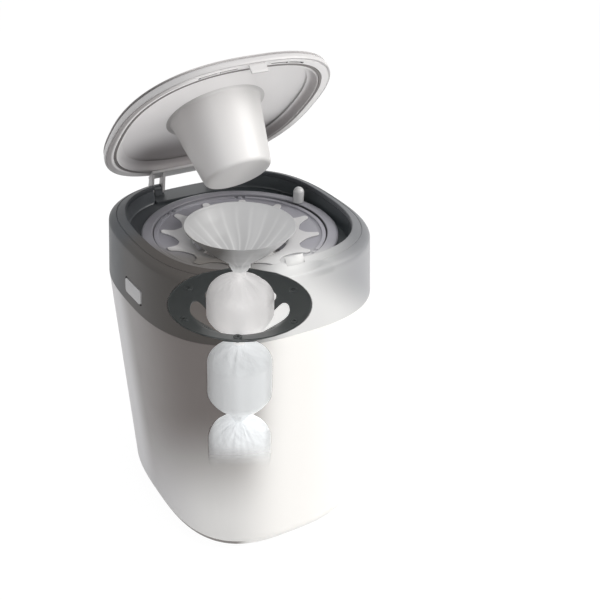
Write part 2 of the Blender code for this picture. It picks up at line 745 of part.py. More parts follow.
def make_turning_post():
    """The round-topped post that a finger pushes to turn the ring."""
    foot = RING_TOP + GAP
    dome = foot + POST_HEIGHT - POST_RADIUS
    turn = math.radians(POST_ANGLE)
    centre = (
        POST_RING_RADIUS * math.cos(turn),
        HEAD_AXIS_Y + POST_RING_RADIUS * math.sin(turn),
    )
    profile = [(0, foot), (POST_RADIUS, foot)]
    profile += [(radius, dome + rise) for radius, rise in arc(POST_RADIUS, 0, 72, 4)]
    profile.append((0, dome + POST_RADIUS))
    material = finish("post_white", GLOSS_WHITE, 0.3)
    return turned("turning_post", profile, material, SMALL_POINTS + 2, centre)


def cassette_outer():
    return SLEEVE_RADIUS - SLEEVE_WALL - CASSETTE_FIT


def make_cassette_shell():
    """The refill's channel: outer wall, floor and throat wall, open at the top."""
    outer = cassette_outer()
    floor = CASSETTE_BOTTOM + CASSETTE_WALL
    throat = CASSETTE_THROAT_RADIUS
    profile = [
        (outer, CASSETTE_BOTTOM),
        (outer, CASSETTE_BOTTOM + CASSETTE_OUTER_RISE),
        (outer - CASSETTE_WALL, CASSETTE_BOTTOM + CASSETTE_OUTER_RISE),
        (outer - CASSETTE_WALL, floor),
        (throat + CASSETTE_WALL, floor),
        (throat + CASSETTE_WALL, CASSETTE_BOTTOM + CASSETTE_INNER_RISE),
        (throat, CASSETTE_BOTTOM + CASSETTE_INNER_RISE),
        (throat, CASSETTE_BOTTOM),
    ]
    return turned("cassette_shell", profile, finish("ring_lavender", RING_LAVENDER, 0.35))


def make_film_pack():
    """The pleated film, packed as a block in the cassette."""
    floor = CASSETTE_BOTTOM + CASSETTE_WALL + GAP
    inner = CASSETTE_THROAT_RADIUS + CASSETTE_WALL + FILM_PACK_MARGIN
    outer = cassette_outer() - CASSETTE_WALL - FILM_PACK_MARGIN
    top = floor + FILM_PACK_HEIGHT
    crown = FILM_PACK_MARGIN / 2
    profile = [
        (outer, floor),
        (outer, top - crown),
        (outer - crown, top),
        (inner + crown, top),
        (inner, top - crown),
        (inner, floor),
    ]
    return turned("film_pack", profile, finish("film_white", FILM_WHITE, 0.5), SOFT_POINTS)


def cover_line(radius):
    """The height of the cassette cover's dished top at a radius."""
    edge = cassette_outer() - COVER_BAND_WIDTH
    share = (edge - radius) / (edge - CASSETTE_THROAT_RADIUS)
    return COVER_SEAT + COVER_BAND_RISE * 0.5 - COVER_FALL * share


def make_cassette_cover():
    """The cassette's lid: a raised band at the edge and a plate that dishes to the throat."""
    outer = cassette_outer()
    band = outer - COVER_BAND_WIDTH
    inner = CASSETTE_THROAT_RADIUS + CASSETTE_WALL + GAP
    top = COVER_SEAT + COVER_BAND_RISE
    round_off = COVER_THICKNESS * 0.5
    profile = [
        (outer, COVER_SEAT),
        (outer, top - round_off),
        (outer - round_off, top),
        (band + round_off, top),
        (band, top - round_off),
        (band, cover_line(band)),
        (inner, cover_line(inner)),
        (inner, cover_line(inner) - COVER_THICKNESS),
        (band - COVER_THICKNESS, cover_line(band - COVER_THICKNESS) - COVER_THICKNESS),
        (band + COVER_THICKNESS, COVER_SEAT),
    ]
    return turned("cassette_cover", profile, finish("ring_lavender", RING_LAVENDER, 0.35))


def make_star_plate():
    """The white plate with twelve fingers, dished into a throat that lines the cassette's."""
    bend = CASSETTE_THROAT_RADIUS + CASSETTE_WALL + GAP * 2
    throat = STAR_THROAT_RADIUS
    outer_throat = throat + STAR_THICKNESS
    bend_height = cover_line(bend) + GAP
    bottom = bend_height - STAR_THROAT_DROP
    edge = cover_line(STAR_RADIUS) + GAP
    profile = [
        (STAR_RADIUS, edge),
        (STAR_RADIUS, edge + STAR_THICKNESS),
        (bend + STAR_THICKNESS, cover_line(bend + STAR_THICKNESS) + GAP + STAR_THICKNESS),
        (throat + STAR_THICKNESS * 0.8, bend_height),
        (throat, bend_height - STAR_THICKNESS * 2),
        (throat, bottom),
        (outer_throat, bottom),
        (outer_throat, bend_height - STAR_THICKNESS * 2),
        (bend, bend_height),
    ]
    plate = turned("star_plate", profile, finish("star_white", GLOSS_WHITE, 0.35))
    cut(plate, spread("star_gap_cutters", make_star_gap, STAR_FINGER_COUNT, 15.0))
    return plate


def make_star_gap(name):
    """One gap between two fingers: round at its root, flaring to leave narrow finger tips."""
    half_pitch = math.pi / STAR_FINGER_COUNT
    mouth = STAR_RADIUS * math.tan(half_pitch) - STAR_FINGER_TIP / 2
    centre = STAR_GAP_ROOT_RADIUS + STAR_GAP_ROUND
    flare = (mouth - STAR_GAP_ROUND) / (STAR_RADIUS - centre)
    end = STAR_RADIUS + OVERRUN / 2
    end_half = STAR_GAP_ROUND + flare * (end - centre)
    outline = arc(STAR_GAP_ROUND, QUARTER_TURN, 3 * QUARTER_TURN, 6, (centre, HEAD_AXIS_Y))
    outline += [(end, HEAD_AXIS_Y - end_half), (end, HEAD_AXIS_Y + end_half)]
    return prism(name, outline, "Z", COVER_SEAT - COVER_FALL, RING_TOP)


def make_film_funnel():
    """The film drawn into a cone, whose neck is twisted shut above the first parcel."""
    rim = RING_TOP + FUNNEL_RIM_RISE
    height = rim - NECK_HEIGHT
    inner_tip = NECK_HEIGHT + height * 0.09
    profile = [
        (0, NECK_HEIGHT),
        (NECK_RADIUS, NECK_HEIGHT),
        (NECK_RADIUS + height * 0.07, NECK_HEIGHT + height * 0.09),
        (FUNNEL_RIM_RADIUS * 0.5, NECK_HEIGHT + height * 0.42),
        (FUNNEL_RIM_RADIUS, rim),
        (FUNNEL_RIM_RADIUS - FUNNEL_WALL, rim),
        (FUNNEL_RIM_RADIUS * 0.5 - FUNNEL_WALL, NECK_HEIGHT + height * 0.44),
        (NECK_RADIUS, NECK_HEIGHT + height * 0.14),
        (0, inner_tip),
    ]
    return turned("film_funnel", profile, finish("film_white", FILM_WHITE, 0.5), PLAN_POINTS)


def brim_line(radius):
    """The height of the finger ring's upper face: a shallow brim, then the steeper fingers."""
    if radius >= FINGER_ROOT_RADIUS:
        share = (BRIM_RADIUS - radius) / (BRIM_RADIUS - FINGER_ROOT_RADIUS)
        return BRIM_HEIGHT - BRIM_FALL * share
    share = (FINGER_ROOT_RADIUS - radius) / (FINGER_ROOT_RADIUS - FINGER_TIP_RADIUS)
    return BRIM_HEIGHT - BRIM_FALL - FINGER_DROP * share


def pad_height():
    """The flat seat on the brim that the tray's posts stand over."""
    return brim_line(RING_POST_CIRCLE + FINGER_PAD_RADIUS) + GAP


def make_finger_ring():
    """A conical brim whose inner part is slotted into six fingers that lean in and down."""
    lip = BRIM_THICKNESS * 0.6
    profile = [
        (BRIM_RADIUS, BRIM_HEIGHT + lip * 0.4),
        (BRIM_RADIUS - lip, BRIM_HEIGHT + lip),
        (BRIM_RADIUS - lip * 2, brim_line(BRIM_RADIUS - lip * 2)),
        (FINGER_ROOT_RADIUS, brim_line(FINGER_ROOT_RADIUS)),
        (FINGER_TIP_RADIUS, brim_line(FINGER_TIP_RADIUS)),
        (FINGER_TIP_RADIUS - lip, brim_line(FINGER_TIP_RADIUS) - BRIM_THICKNESS),
        (FINGER_ROOT_RADIUS - lip, brim_line(FINGER_ROOT_RADIUS) - BRIM_THICKNESS),
        (BRIM_RADIUS, BRIM_HEIGHT - BRIM_THICKNESS),
    ]
    ring = turned("finger_ring", profile, finish("slate", SLATE, 0.4), PLAN_POINTS)
    cut(ring, spread("finger_slot_cutters", make_finger_slot, FINGER_COUNT, 30.0))
    join(ring, spread("screw_pads", make_screw_pad, RING_POST_COUNT))
    cut(ring, spread("screw_hole_cutters", make_screw_hole, RING_POST_COUNT))
    return ring


def finger_width(radius):
    share = (radius - FINGER_TIP_RADIUS) / (FINGER_ROOT_RADIUS - FINGER_TIP_RADIUS)
    return FINGER_TIP_WIDTH + (FINGER_ROOT_WIDTH - FINGER_TIP_WIDTH) * share


def make_finger_slot(name):
    """One slot between two fingers, from within their tips to a rounded outer end."""
    half_pitch = math.pi / FINGER_COUNT
    inner = FINGER_TIP_RADIUS * 0.8
    shoulder = FINGER_ROOT_RADIUS * 0.86
    steps = 4
    side = []
    for step in range(steps + 1):
        radius = inner + (shoulder - inner) * step / steps
        turn = half_pitch - math.asin(finger_width(radius) / 2 / radius)
        side.append((radius, turn))
    end_turn = side[-1][1]
    end = []
    for share in (0.94, 0.7, 0.35, 0.0):
        reach = shoulder + (FINGER_ROOT_RADIUS - shoulder) * math.sqrt(1 - share**4)
        end.append((reach, end_turn * share))
    half = side + end
    whole = half + [(radius, -turn) for radius, turn in reversed(half[:-1])]
    outline = [(r * math.cos(turn), HEAD_AXIS_Y + r * math.sin(turn)) for r, turn in whole]
    return prism(name, outline, "Z", BRIM_HEIGHT - BRIM_FALL - FINGER_DROP - OVERRUN, BRIM_HEIGHT)


def make_screw_pad(name):
    low = brim_line(RING_POST_CIRCLE - FINGER_PAD_RADIUS) - BRIM_THICKNESS / 2
    centre = (RING_POST_CIRCLE, HEAD_AXIS_Y)
    return rod(name, FINGER_PAD_RADIUS, "Z", centre, low, pad_height())


def screw_head_seat():
    return brim_line(RING_POST_CIRCLE - FINGER_PAD_RADIUS) - BRIM_THICKNESS - GAP


def make_screw_hole(name):
    centre = (RING_POST_CIRCLE, HEAD_AXIS_Y)
    radius = SCREW_RADIUS + GAP
    low = BRIM_HEIGHT - BRIM_FALL - BRIM_THICKNESS - OVERRUN
    return rod(name, radius, "Z", centre, low, BRIM_HEIGHT + OVERRUN, points=10)


def copies(name, first, places):
    """The same mesh again at other places, each as an object of its own."""
    first.name = f"{name}_1"
    first.location = places[0]
    pieces = [first]
    for number, place in enumerate(places[1:], start=2):
        piece = bpy.data.objects.new(f"{name}_{number}", first.data)
        piece.location = place
        bpy.context.scene.collection.objects.link(piece)
        pieces.append(piece)
    return pieces


def make_ring_screws():
    """Six round-headed screws that come up through the brim into the tray's posts."""
    seat = screw_head_seat()
    profile = [
        (0, -SCREW_HEAD_HEIGHT),
        (SCREW_HEAD_RADIUS * 0.7, -SCREW_HEAD_HEIGHT),
        (SCREW_HEAD_RADIUS, -SCREW_HEAD_HEIGHT * 0.5),
        (SCREW_HEAD_RADIUS, 0),
        (SCREW_RADIUS, 0),
        (SCREW_RADIUS, SCREW_LENGTH),
        (0, SCREW_LENGTH),
    ]
    screw = turned("ring_screw", profile, finish("steel", STEEL, 0.3, 1.0), 8, (0, 0))
    turns = [2 * math.pi * step / RING_POST_COUNT for step in range(RING_POST_COUNT)]
    places = [
        (RING_POST_CIRCLE * math.cos(t), HEAD_AXIS_Y + RING_POST_CIRCLE * math.sin(t), seat)
        for t in turns
    ]
    return copies("ring_screw", screw, places)


def make_cassette_tray():
    """The tray under the deck: flange, well, floor with its throat, and six tubular posts
    that reach down to the finger ring."""
    top = DECK_UNDERSIDE - GAP
    floor_top = top - TRAY_DEPTH + TRAY_FLOOR
    floor_bottom = top - TRAY_DEPTH
    inner = TRAY_RADIUS - TRAY_WALL
    profile = [
        (TRAY_FLANGE_RADIUS, top),
        (inner, top),
        (inner, floor_top),
        (TRAY_HOLE_RADIUS, floor_top),
        (TRAY_HOLE_RADIUS, floor_bottom),
        (TRAY_RADIUS, floor_bottom),
        (TRAY_RADIUS, top - TRAY_FLANGE_THICKNESS),
        (TRAY_FLANGE_RADIUS, top - TRAY_FLANGE_THICKNESS),
    ]
    tray = turned("cassette_tray", profile, finish("tray_white", TUB_WHITE, 0.45))

    def post(name):
        centre = (RING_POST_CIRCLE, HEAD_AXIS_Y)
        return rod(name, RING_POST_RADIUS, "Z", centre, pad_height() + GAP, floor_top - BITE)

    def bore(name):
        centre = (RING_POST_CIRCLE, HEAD_AXIS_Y)
        depth = pad_height() + SCREW_LENGTH
        return rod(name, RING_POST_BORE, "Z", centre, pad_height() - OVERRUN, depth, points=10)

    join(tray, spread("tray_posts", post, RING_POST_COUNT))
    cut(tray, spread("tray_post_bores", bore, RING_POST_COUNT), make_pawl_window())
    return tray


def polar_outline(inner, outer, start, end, steps):
    centre = (0, HEAD_AXIS_Y)
    return arc(outer, start, end, steps, centre) + arc(inner, end, start, steps, centre)


def pawl_bottom():
    return RING_SEAT - TOOTH_BAND_DROP - TOOTH_BAND_HEIGHT / 2 - PAWL_HEIGHT / 2


def make_pawl_window():
    margin_angle = math.degrees(PAWL_WINDOW_MARGIN / TRAY_RADIUS)
    outline = polar_outline(
        SLEEVE_RADIUS + TOOTH_DEPTH,
        TRAY_RADIUS + OVERRUN,
        PAWL_ANGLE - PAWL_TIP_SWEEP - margin_angle,
        PAWL_ANGLE + margin_angle,
        2,
    )
    bottom = pawl_bottom() - PAWL_WINDOW_MARGIN
    top = pawl_bottom() + PAWL_HEIGHT + PAWL_WINDOW_MARGIN
    return prism("pawl_window_cutter", outline, "Z", bottom, top)


def make_click_pawl():
    """A leaf that lies round the tray and turns in through its window to the ratchet teeth."""
    inner = TRAY_RADIUS + GAP
    outer = inner + PAWL_THICKNESS
    tip = SLEEVE_RADIUS + TOOTH_DEPTH + PAWL_CLEARANCE
    centre = (0, HEAD_AXIS_Y)
    outline = arc(outer, PAWL_ANGLE - PAWL_SWEEP, PAWL_ANGLE, 6, centre)
    outline += arc(tip, PAWL_ANGLE, PAWL_ANGLE - PAWL_TIP_SWEEP * 0.5, 1, centre)
    start = PAWL_ANGLE - PAWL_TIP_SWEEP
    outline += arc(inner, start, PAWL_ANGLE - PAWL_SWEEP, 5, centre)
    material = finish("pawl_white", GLOSS_WHITE, 0.5)
    return prism("click_pawl", outline, "Z", pawl_bottom(), pawl_bottom() + PAWL_HEIGHT, material)


def parcel(name, top, bottom, foot_radius, foot_length, foot_shares):
    """A wrapped nappy: full in the middle, gathered to a neck above and to a foot below."""
    profile = [(0, top), (NECK_RADIUS, top)]
    for drop_share, radius_share in NECK_SHARES:
        radius = NECK_RADIUS + (PARCEL_RADIUS - NECK_RADIUS) * radius_share
        profile.append((radius, top - PARCEL_SHOULDER * drop_share))
    for rise_share, radius_share in foot_shares:
        radius = foot_radius + (PARCEL_RADIUS - foot_radius) * radius_share
        profile.append((radius, bottom + foot_length * rise_share))
    profile += [(foot_radius, bottom), (0, bottom)]
    return turned(name, profile, finish("film_white", FILM_WHITE, 0.5), SOFT_POINTS)


def make_parcels():
    """Three parcels: the top one in the fingers, the bottom one settled on the tub's floor."""
    top = NECK_HEIGHT - GAP
    second = top - PARCEL_TOP_LENGTH
    third = second - GAP - (second - FLOOR_TOP) * PARCEL_MIDDLE_SHARE
    drawn = (NECK_RADIUS, PARCEL_FOOT, DRAWN_FOOT_SHARES)
    settled = (PARCEL_REST_RADIUS, PARCEL_REST_FOOT, SETTLED_FOOT_SHARES)
    return [
        parcel("nappy_parcel_top", top, second, *drawn),
        parcel("nappy_parcel_middle", second - GAP, third, *drawn),
        parcel("nappy_parcel_bottom", third - GAP, FLOOR_TOP + GAP, *settled),
    ]


def make_lid_shell():
    """The lid's outer dome, a shell open underneath."""
    wall = LID_SHELL_WALL
    edge, crown = LID_EDGE_HEIGHT, LID_DOME_RISE
    reach = LID_HALF_WIDTH
    outside = [
        (0.0, wall * 0.2),
        (0.0, edge - LID_EDGE_ROUND * 1.4),
        (LID_EDGE_ROUND * 0.3, edge - LID_EDGE_ROUND * 0.6),
        (LID_EDGE_ROUND, edge),
        (reach * 0.07, edge + (crown - edge) * 0.17),
        (reach * 0.17, edge + (crown - edge) * 0.40),
        (reach * 0.33, edge + (crown - edge) * 0.67),
        (reach * 0.60, edge + (crown - edge) * 0.91),
    ]
    rings = [lid_ring(inset, rise) for inset, rise in outside]
    rings.append([Vector((0, 0, LID_UNDERSIDE + crown))])
    rings.append([Vector((0, 0, LID_UNDERSIDE + crown - wall))])
    inside = [
        (reach * 0.60, edge + (crown - edge) * 0.91 - wall),
        (reach * 0.33, edge + (crown - edge) * 0.67 - wall),
        (reach * 0.17, edge + (crown - edge) * 0.40 - wall),
        (reach * 0.07, edge + (crown - edge) * 0.17 - wall),
        (wall, edge - LID_EDGE_ROUND * 1.4),
        (wall, wall * 0.2),
    ]
    rings += [lid_ring(inset, rise) for inset, rise in inside]
    return loft_shell("lid_shell", rings, finish("lid_white", LID_WHITE, 0.4))


def loft_shell(name, rings, material):
    """A dome: rings out to in on one face, a pole on each face, and back out. The two poles
    aren't joined, and the last ring closes on the first."""
    poles = [place for place, ring in enumerate(rings) if len(ring) == 1]
    outer, inner = rings[: poles[0] + 1], rings[poles[1] :]
    return loft(name, inner + outer, material)


def make_lid_liner():
    """The lid's underside: a flat flange, the seal's groove, a ledge, and a dish that clears
    the turning post, with a hole over the plunger."""
    wall = LINER_WALL
    edge = LID_SHELL_WALL + GAP
    groove = edge + LINER_FLANGE
    ledge = groove + SEAL_GROOVE_WIDTH
    dish = ledge + LINER_LEDGE
    floor = dish + DISH_WALL_WIDTH
    under = [
        (edge, 0.0),
        (groove, 0.0),
        (groove, SEAL_GROOVE_DEPTH),
        (ledge, SEAL_GROOVE_DEPTH),
        (ledge, 0.0),
        (dish, 0.0),
        (dish + DISH_WALL_WIDTH * 0.12, DISH_DEPTH * 0.35),
        (dish + DISH_WALL_WIDTH * 0.40, DISH_DEPTH * 0.75),
        (floor, DISH_DEPTH),
    ]
    above = [
        (floor, DISH_DEPTH + wall),
        (dish + DISH_WALL_WIDTH * 0.25, DISH_DEPTH * 0.75 + wall),
        (ledge, SEAL_GROOVE_DEPTH + wall * 0.8),
        (groove - wall * 0.6, SEAL_GROOVE_DEPTH + wall * 0.8),
        (groove - wall * 0.8, wall),
        (edge, wall),
    ]
    rings = [lid_ring(inset, rise) for inset, rise in under]
    rings += [
        circle(LINER_HOLE_RADIUS, LID_UNDERSIDE + DISH_DEPTH, PLAN_POINTS),
        circle(LINER_HOLE_RADIUS, LID_UNDERSIDE + DISH_DEPTH + wall, PLAN_POINTS),
    ]
    rings += [lid_ring(inset, rise) for inset, rise in above]
    liner = loft("lid_liner", rings, finish("lid_white", LID_WHITE, 0.4), closed=True)
    cutters = []
    for side in (-1, 1):
        for place, span in enumerate(SLOT_SPANS):
            cutters.append(make_liner_slot(f"liner_slot_{side}_{place}", side, span))
    cut(liner, *cutters)
    return liner, cutters


def make_liner_slot(name, side, span):
    """A slot along the front flange that follows the lid's edge."""
    steps = 4
    places = [span[0] + (span[1] - span[0]) * step / steps for step in range(steps + 1)]
    outer = [(side * place, lid_front(place, SLOT_INSET)) for place in places]
    inner = [(side * place, lid_front(place, SLOT_INSET + SLOT_WIDTH)) for place in places]
    bottom, top = LID_UNDERSIDE - OVERRUN, LID_UNDERSIDE + LINER_WALL + OVERRUN / 4
    return prism(name, outer + inner[::-1], "Z", bottom, top)


def make_lid_seal():
    """The soft ring pressed into the liner's groove."""
    outer = LID_SHELL_WALL + GAP + LINER_FLANGE + SEAL_FIT
    inner = outer + SEAL_GROOVE_WIDTH - 2 * SEAL_FIT
    top = SEAL_GROOVE_DEPTH - GAP
    proud = -SEAL_FIT * 0.6
    corners = ((outer, proud), (inner, proud), (inner, top), (outer, top))
    rings = [lid_ring(inset, rise) for inset, rise in corners]
    return loft("lid_seal", rings, finish("seal_grey", SEAL_GREY, 0.7), closed=True)


def make_plunger():
    """The white cup under the lid: a flange, a flared root, tapering walls, a round bottom edge."""
    top = LID_UNDERSIDE + DISH_DEPTH - GAP
    bottom = LID_UNDERSIDE - PLUNGER_REACH
    flange = PLUNGER_FLANGE_THICKNESS
    root, fillet = PLUNGER_ROOT_FILLET, PLUNGER_BASE_FILLET
    wide, narrow, wall = PLUNGER_TOP_RADIUS, PLUNGER_BASE_RADIUS, PLUNGER_WALL
    outside = [
        (PLUNGER_FLANGE_RADIUS, top),
        (PLUNGER_FLANGE_RADIUS, top - flange * 0.7),
        (wide + root * 0.6, top - flange),
        (wide + root * 0.18, top - flange - root * 0.3),
        (wide, top - flange - root),
    ]
    base = [
        (narrow, bottom + fillet),
        (narrow - fillet * 0.13, bottom + fillet * 0.5),
        (narrow - fillet * 0.5, bottom + fillet * 0.13),
        (narrow - fillet, bottom),
        (0, bottom),
    ]
    inside = [
        (0, bottom + wall),
        (narrow - fillet, bottom + wall),
        (narrow - wall - fillet * 0.2, bottom + wall + fillet * 0.3),
        (narrow - wall, bottom + fillet),
        (wide - wall, top - flange - root),
        (wide + wall * 0.4, top),
    ]
    profile = inside + outside + base
    return turned("plunger", profile, finish("plunger_white", GLOSS_WHITE, 0.2))


def make_lid_catch():
    """The snap tongue at the lid's front edge, with a barb along its foot."""
    top = LID_UNDERSIDE - GAP
    bottom = top - CATCH_LENGTH
    front = catch_front()
    outline = [
        (front, top),
        (front, bottom + CATCH_BARB_HEIGHT),
        (front - CATCH_BARB, bottom + CATCH_BARB_HEIGHT * 0.8),
        (front, bottom),
        (front + CATCH_THICKNESS * 0.7, bottom),
        (front + CATCH_THICKNESS, top),
    ]
    material = finish("lid_white", LID_WHITE, 0.4)
    return prism("lid_catch", outline, "X", -CATCH_HALF_WIDTH, CATCH_HALF_WIDTH, material)


def prong_places():
    """The left edges of the four prongs."""
    reach = HINGE_LUG_WIDTH / 2 + HINGE_SIDE_GAP
    places = []
    for centre in (-HINGE_LUG_CENTRE, HINGE_LUG_CENTRE):
        places += [centre - reach - PRONG_WIDTH, centre + reach]
    return places


def make_lid_hinge_bracket():
    """A plate under the lid's rear edge, with two pairs of prongs that take the pins."""
    material = finish("lid_white", LID_WHITE, 0.4)
    top = LID_UNDERSIDE - GAP - SEAL_FIT
    bottom = top - BRACKET_THICKNESS
    rear = LID_HALF_DEPTH - BRACKET_EDGE_INSET
    front = rear - BRACKET_DEPTH
    half = prong_places()[-1] + PRONG_WIDTH
    plate = box("lid_hinge_bracket", (-half, front, bottom), (half, rear, top), material)
    neck = bottom + BRACKET_THICKNESS / 2
    outline = [(front + PRONG_WIDTH / 2, neck), (rear - PRONG_WIDTH / 4, neck)]
    outline += arc(PRONG_EYE_RADIUS, PRONG_EYE_START, PRONG_EYE_END, 8, (HINGE_Y, HINGE_HEIGHT))
    extras = []
    for place, left in enumerate(prong_places()):
        left_edge = left + (GAP / 10 if place == 0 else 0)
        right_edge = left + PRONG_WIDTH - (GAP / 10 if place == 3 else 0)
        prong = prism(f"prong_{place}", outline, "X", left_edge, right_edge)
        join(plate, prong)
        extras.append(prong)
    radius = HINGE_PIN_RADIUS + HINGE_BORE_FIT
    centre = (HINGE_Y, HINGE_HEIGHT)
    bore = rod("prong_bore_cutter", radius, "X", centre, -half - OVERRUN, half + OVERRUN)
    cut(plate, bore)
    extras.append(bore)
    return plate, extras


def make_hinge_housing():
    """The insert in the rear rim: a floor in the gap, and two lugs that hold the pins."""
    material = finish("slate", SLATE, 0.4)
    half = hinge_gap_half_width() - GAP
    floor = DECK_TOP + GAP * 2
    top = floor + HOUSING_THICKNESS
    front = HINGE_Y - HOUSING_FRONT_REACH
    steps = 6
    places = [-half + 2 * half * step / steps for step in range(steps + 1)]
    outline = [(place, collar_back(place, floor, GAP * 2)) for place in places]
    outline += [(half, front), (-half, front)]
    housing = prism("hinge_housing", outline, "Z", floor, top, material)
    foot = HINGE_LUG_RADIUS * 1.25
    lug = [(HINGE_Y - foot, floor + BITE), (HINGE_Y + HINGE_LUG_RADIUS * 0.7, floor + BITE)]
    lug += arc(HINGE_LUG_RADIUS, HINGE_LUG_START, HINGE_LUG_END, 8, (HINGE_Y, HINGE_HEIGHT))
    for side in (-1, 1):
        centre = side * HINGE_LUG_CENTRE
        name = "hinge_lug_left" if side < 0 else "hinge_lug_right"
        reach = HINGE_LUG_WIDTH / 2
        join(housing, prism(name, lug, "X", centre - reach, centre + reach))
    radius = HINGE_PIN_RADIUS + HINGE_BORE_FIT
    centre = (HINGE_Y, HINGE_HEIGHT)
    cut(housing, rod("lug_bore_cutter", radius, "X", centre, -half - OVERRUN, half + OVERRUN))
    return housing


def make_hinge_pins():
    """Two steel pins, each through one lug and its pair of prongs."""
    reach = HINGE_LUG_WIDTH / 2 + HINGE_SIDE_GAP + PRONG_WIDTH
    steel = finish("steel", STEEL, 0.3, 1.0)
    pin = rod("hinge_pin", HINGE_PIN_RADIUS, "X", (0, 0), -reach, reach, steel)
    places = [(x, HINGE_Y, HINGE_HEIGHT) for x in (-HINGE_LUG_CENTRE, HINGE_LUG_CENTRE)]
    return copies("hinge_pin", pin, places)


def make_button(side):
    """A release button: a cap that follows the collar's side, a flange behind the wall, a
    boss for the spring, and an arm with a barb that hangs inside the tub's spigot."""
    name = "button_left" if side < 0 else "button_right"
    material = finish("button_grey", BUTTON_GREY, 0.4)
    middle = (BUTTON_CENTRE_Y, BUTTON_HEIGHT_ABOVE_FLOOR)

    def face(share):
        ring = []
        for along, height in button_outline(-BUTTON_FIT):
            y = middle[0] + (along - middle[0]) * share
            z = middle[1] + (height - middle[1]) * share
            ring.append(Vector((side * (collar_side(y, z) + BUTTON_PROUD), y, z)))
        return ring

    def flat(margin, depth):
        return [Vector((side * depth, y, z)) for y, z in button_outline(margin)]

    centre_point = Vector((side * (collar_side(*middle) + BUTTON_PROUD), *middle))
    back = BUTTON_FLANGE_X - BUTTON_FLANGE_THICKNESS
    rings = [[centre_point], face(0.6), face(0.95), flat(-BUTTON_FIT, BUTTON_FLANGE_X)]
    rings += [flat(BUTTON_FLANGE_MARGIN, BUTTON_FLANGE_X), flat(BUTTON_FLANGE_MARGIN, back)]
    button = loft(name, rings, material)
    extras = [
        rod(
            f"{name}_boss",
            BUTTON_BOSS_RADIUS,
            "X",
            middle,
            *sorted((side * (back + BITE), side * (back - BUTTON_BOSS_LENGTH))),
        )
    ]
    arm_outer = back + BITE
    arm_inner = arm_outer - CATCH_ARM_THICKNESS
    arm_top = middle[1] - BUTTON_HEIGHT / 4
    arm_bottom = middle[1] - BUTTON_HEIGHT / 2 - CATCH_ARM_DROP
    half = CATCH_ARM_WIDTH / 2
    near, far = sorted((side * arm_inner, side * arm_outer))
    low = (near, middle[0] - half, arm_bottom)
    extras.append(box(f"{name}_arm", low, (far, middle[0] + half, arm_top)))
    near, far = sorted((side * (arm_outer - BITE), side * (arm_outer + CATCH_ARM_BARB)))
    low = (near, middle[0] - half + BITE, arm_bottom + BITE)
    high = (far, middle[0] + half - BITE, arm_bottom + CATCH_BARB_HEIGHT)
    extras.append(box(f"{name}_barb", low, high))
    join(button, *extras)
    return button, extras


def make_button_spring(side):
    """A coil spring along X between the button's flange and the seat under the deck."""
    name = "button_spring_left" if side < 0 else "button_spring_right"
    start = SPRING_SEAT_X + GAP + SPRING_WIRE_RADIUS
    end = BUTTON_FLANGE_X - BUTTON_FLANGE_THICKNESS - GAP - SPRING_WIRE_RADIUS
    curve = bpy.data.curves.new(name, "CURVE")
    curve.dimensions = "3D"
    curve.bevel_depth = SPRING_WIRE_RADIUS
    curve.bevel_resolution = 0
    curve.use_fill_caps = True
    count = SPRING_TURNS * SPRING_STEPS + 1
    line = curve.splines.new("POLY")
    line.points.add(count - 1)
    for step in range(count):
        turn = 2 * math.pi * step / SPRING_STEPS
        depth = start + (end - start) * step / (count - 1)
        y = BUTTON_CENTRE_Y + SPRING_RADIUS * math.cos(turn)
        z = BUTTON_HEIGHT_ABOVE_FLOOR + SPRING_RADIUS * math.sin(turn)
        line.points[step].co = (side * depth, y, z, 1)
    curve.materials.append(finish("steel", STEEL, 0.3, 1.0))
    spring = bpy.data.objects.new(name, curve)
    bpy.context.scene.collection.objects.link(spring)
    return spring


def build():
    clear_scene()
    make_tub()
    make_collar()
    make_well_frame()
    make_cassette_tray()
    make_finger_ring()
    make_ring_screws()
    make_click_pawl()
    make_hinge_housing()
    make_hinge_pins()
    make_parcels()

    turning = pivot("twist_axis", Vector((0, HEAD_AXIS_Y, RING_SEAT)))
    ring = make_twist_ring()
    star = make_star_plate()
    guides = [bpy.data.objects["ratchet_teeth"], bpy.data.objects["star_gap_cutters"]]
    carry(turning, [ring, star, *guides, make_turning_post(), make_cassette_shell()])
    carry(turning, [make_film_pack(), make_cassette_cover(), make_film_funnel()])

    hinge = pivot("lid_hinge_axis", Vector((0, HINGE_Y, HINGE_HEIGHT)))
    liner, slots = make_lid_liner()
    bracket, prongs = make_lid_hinge_bracket()
    carry(hinge, [make_lid_shell(), liner, *slots, make_lid_seal(), make_plunger()])
    carry(hinge, [make_lid_catch(), bracket, *prongs])
    hinge.rotation_euler = (-math.radians(LID_OPEN_ANGLE), 0, 0)

    for side in (-1, 1):
        button, extras = make_button(side)
        place = Vector((side * BUTTON_FLANGE_X, BUTTON_CENTRE_Y, BUTTON_HEIGHT_ABOVE_FLOOR))
        slide = pivot(f"{button.name}_slide", place)
        carry(slide, [button, *extras])
        make_button_spring(side)


build()
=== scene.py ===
import math

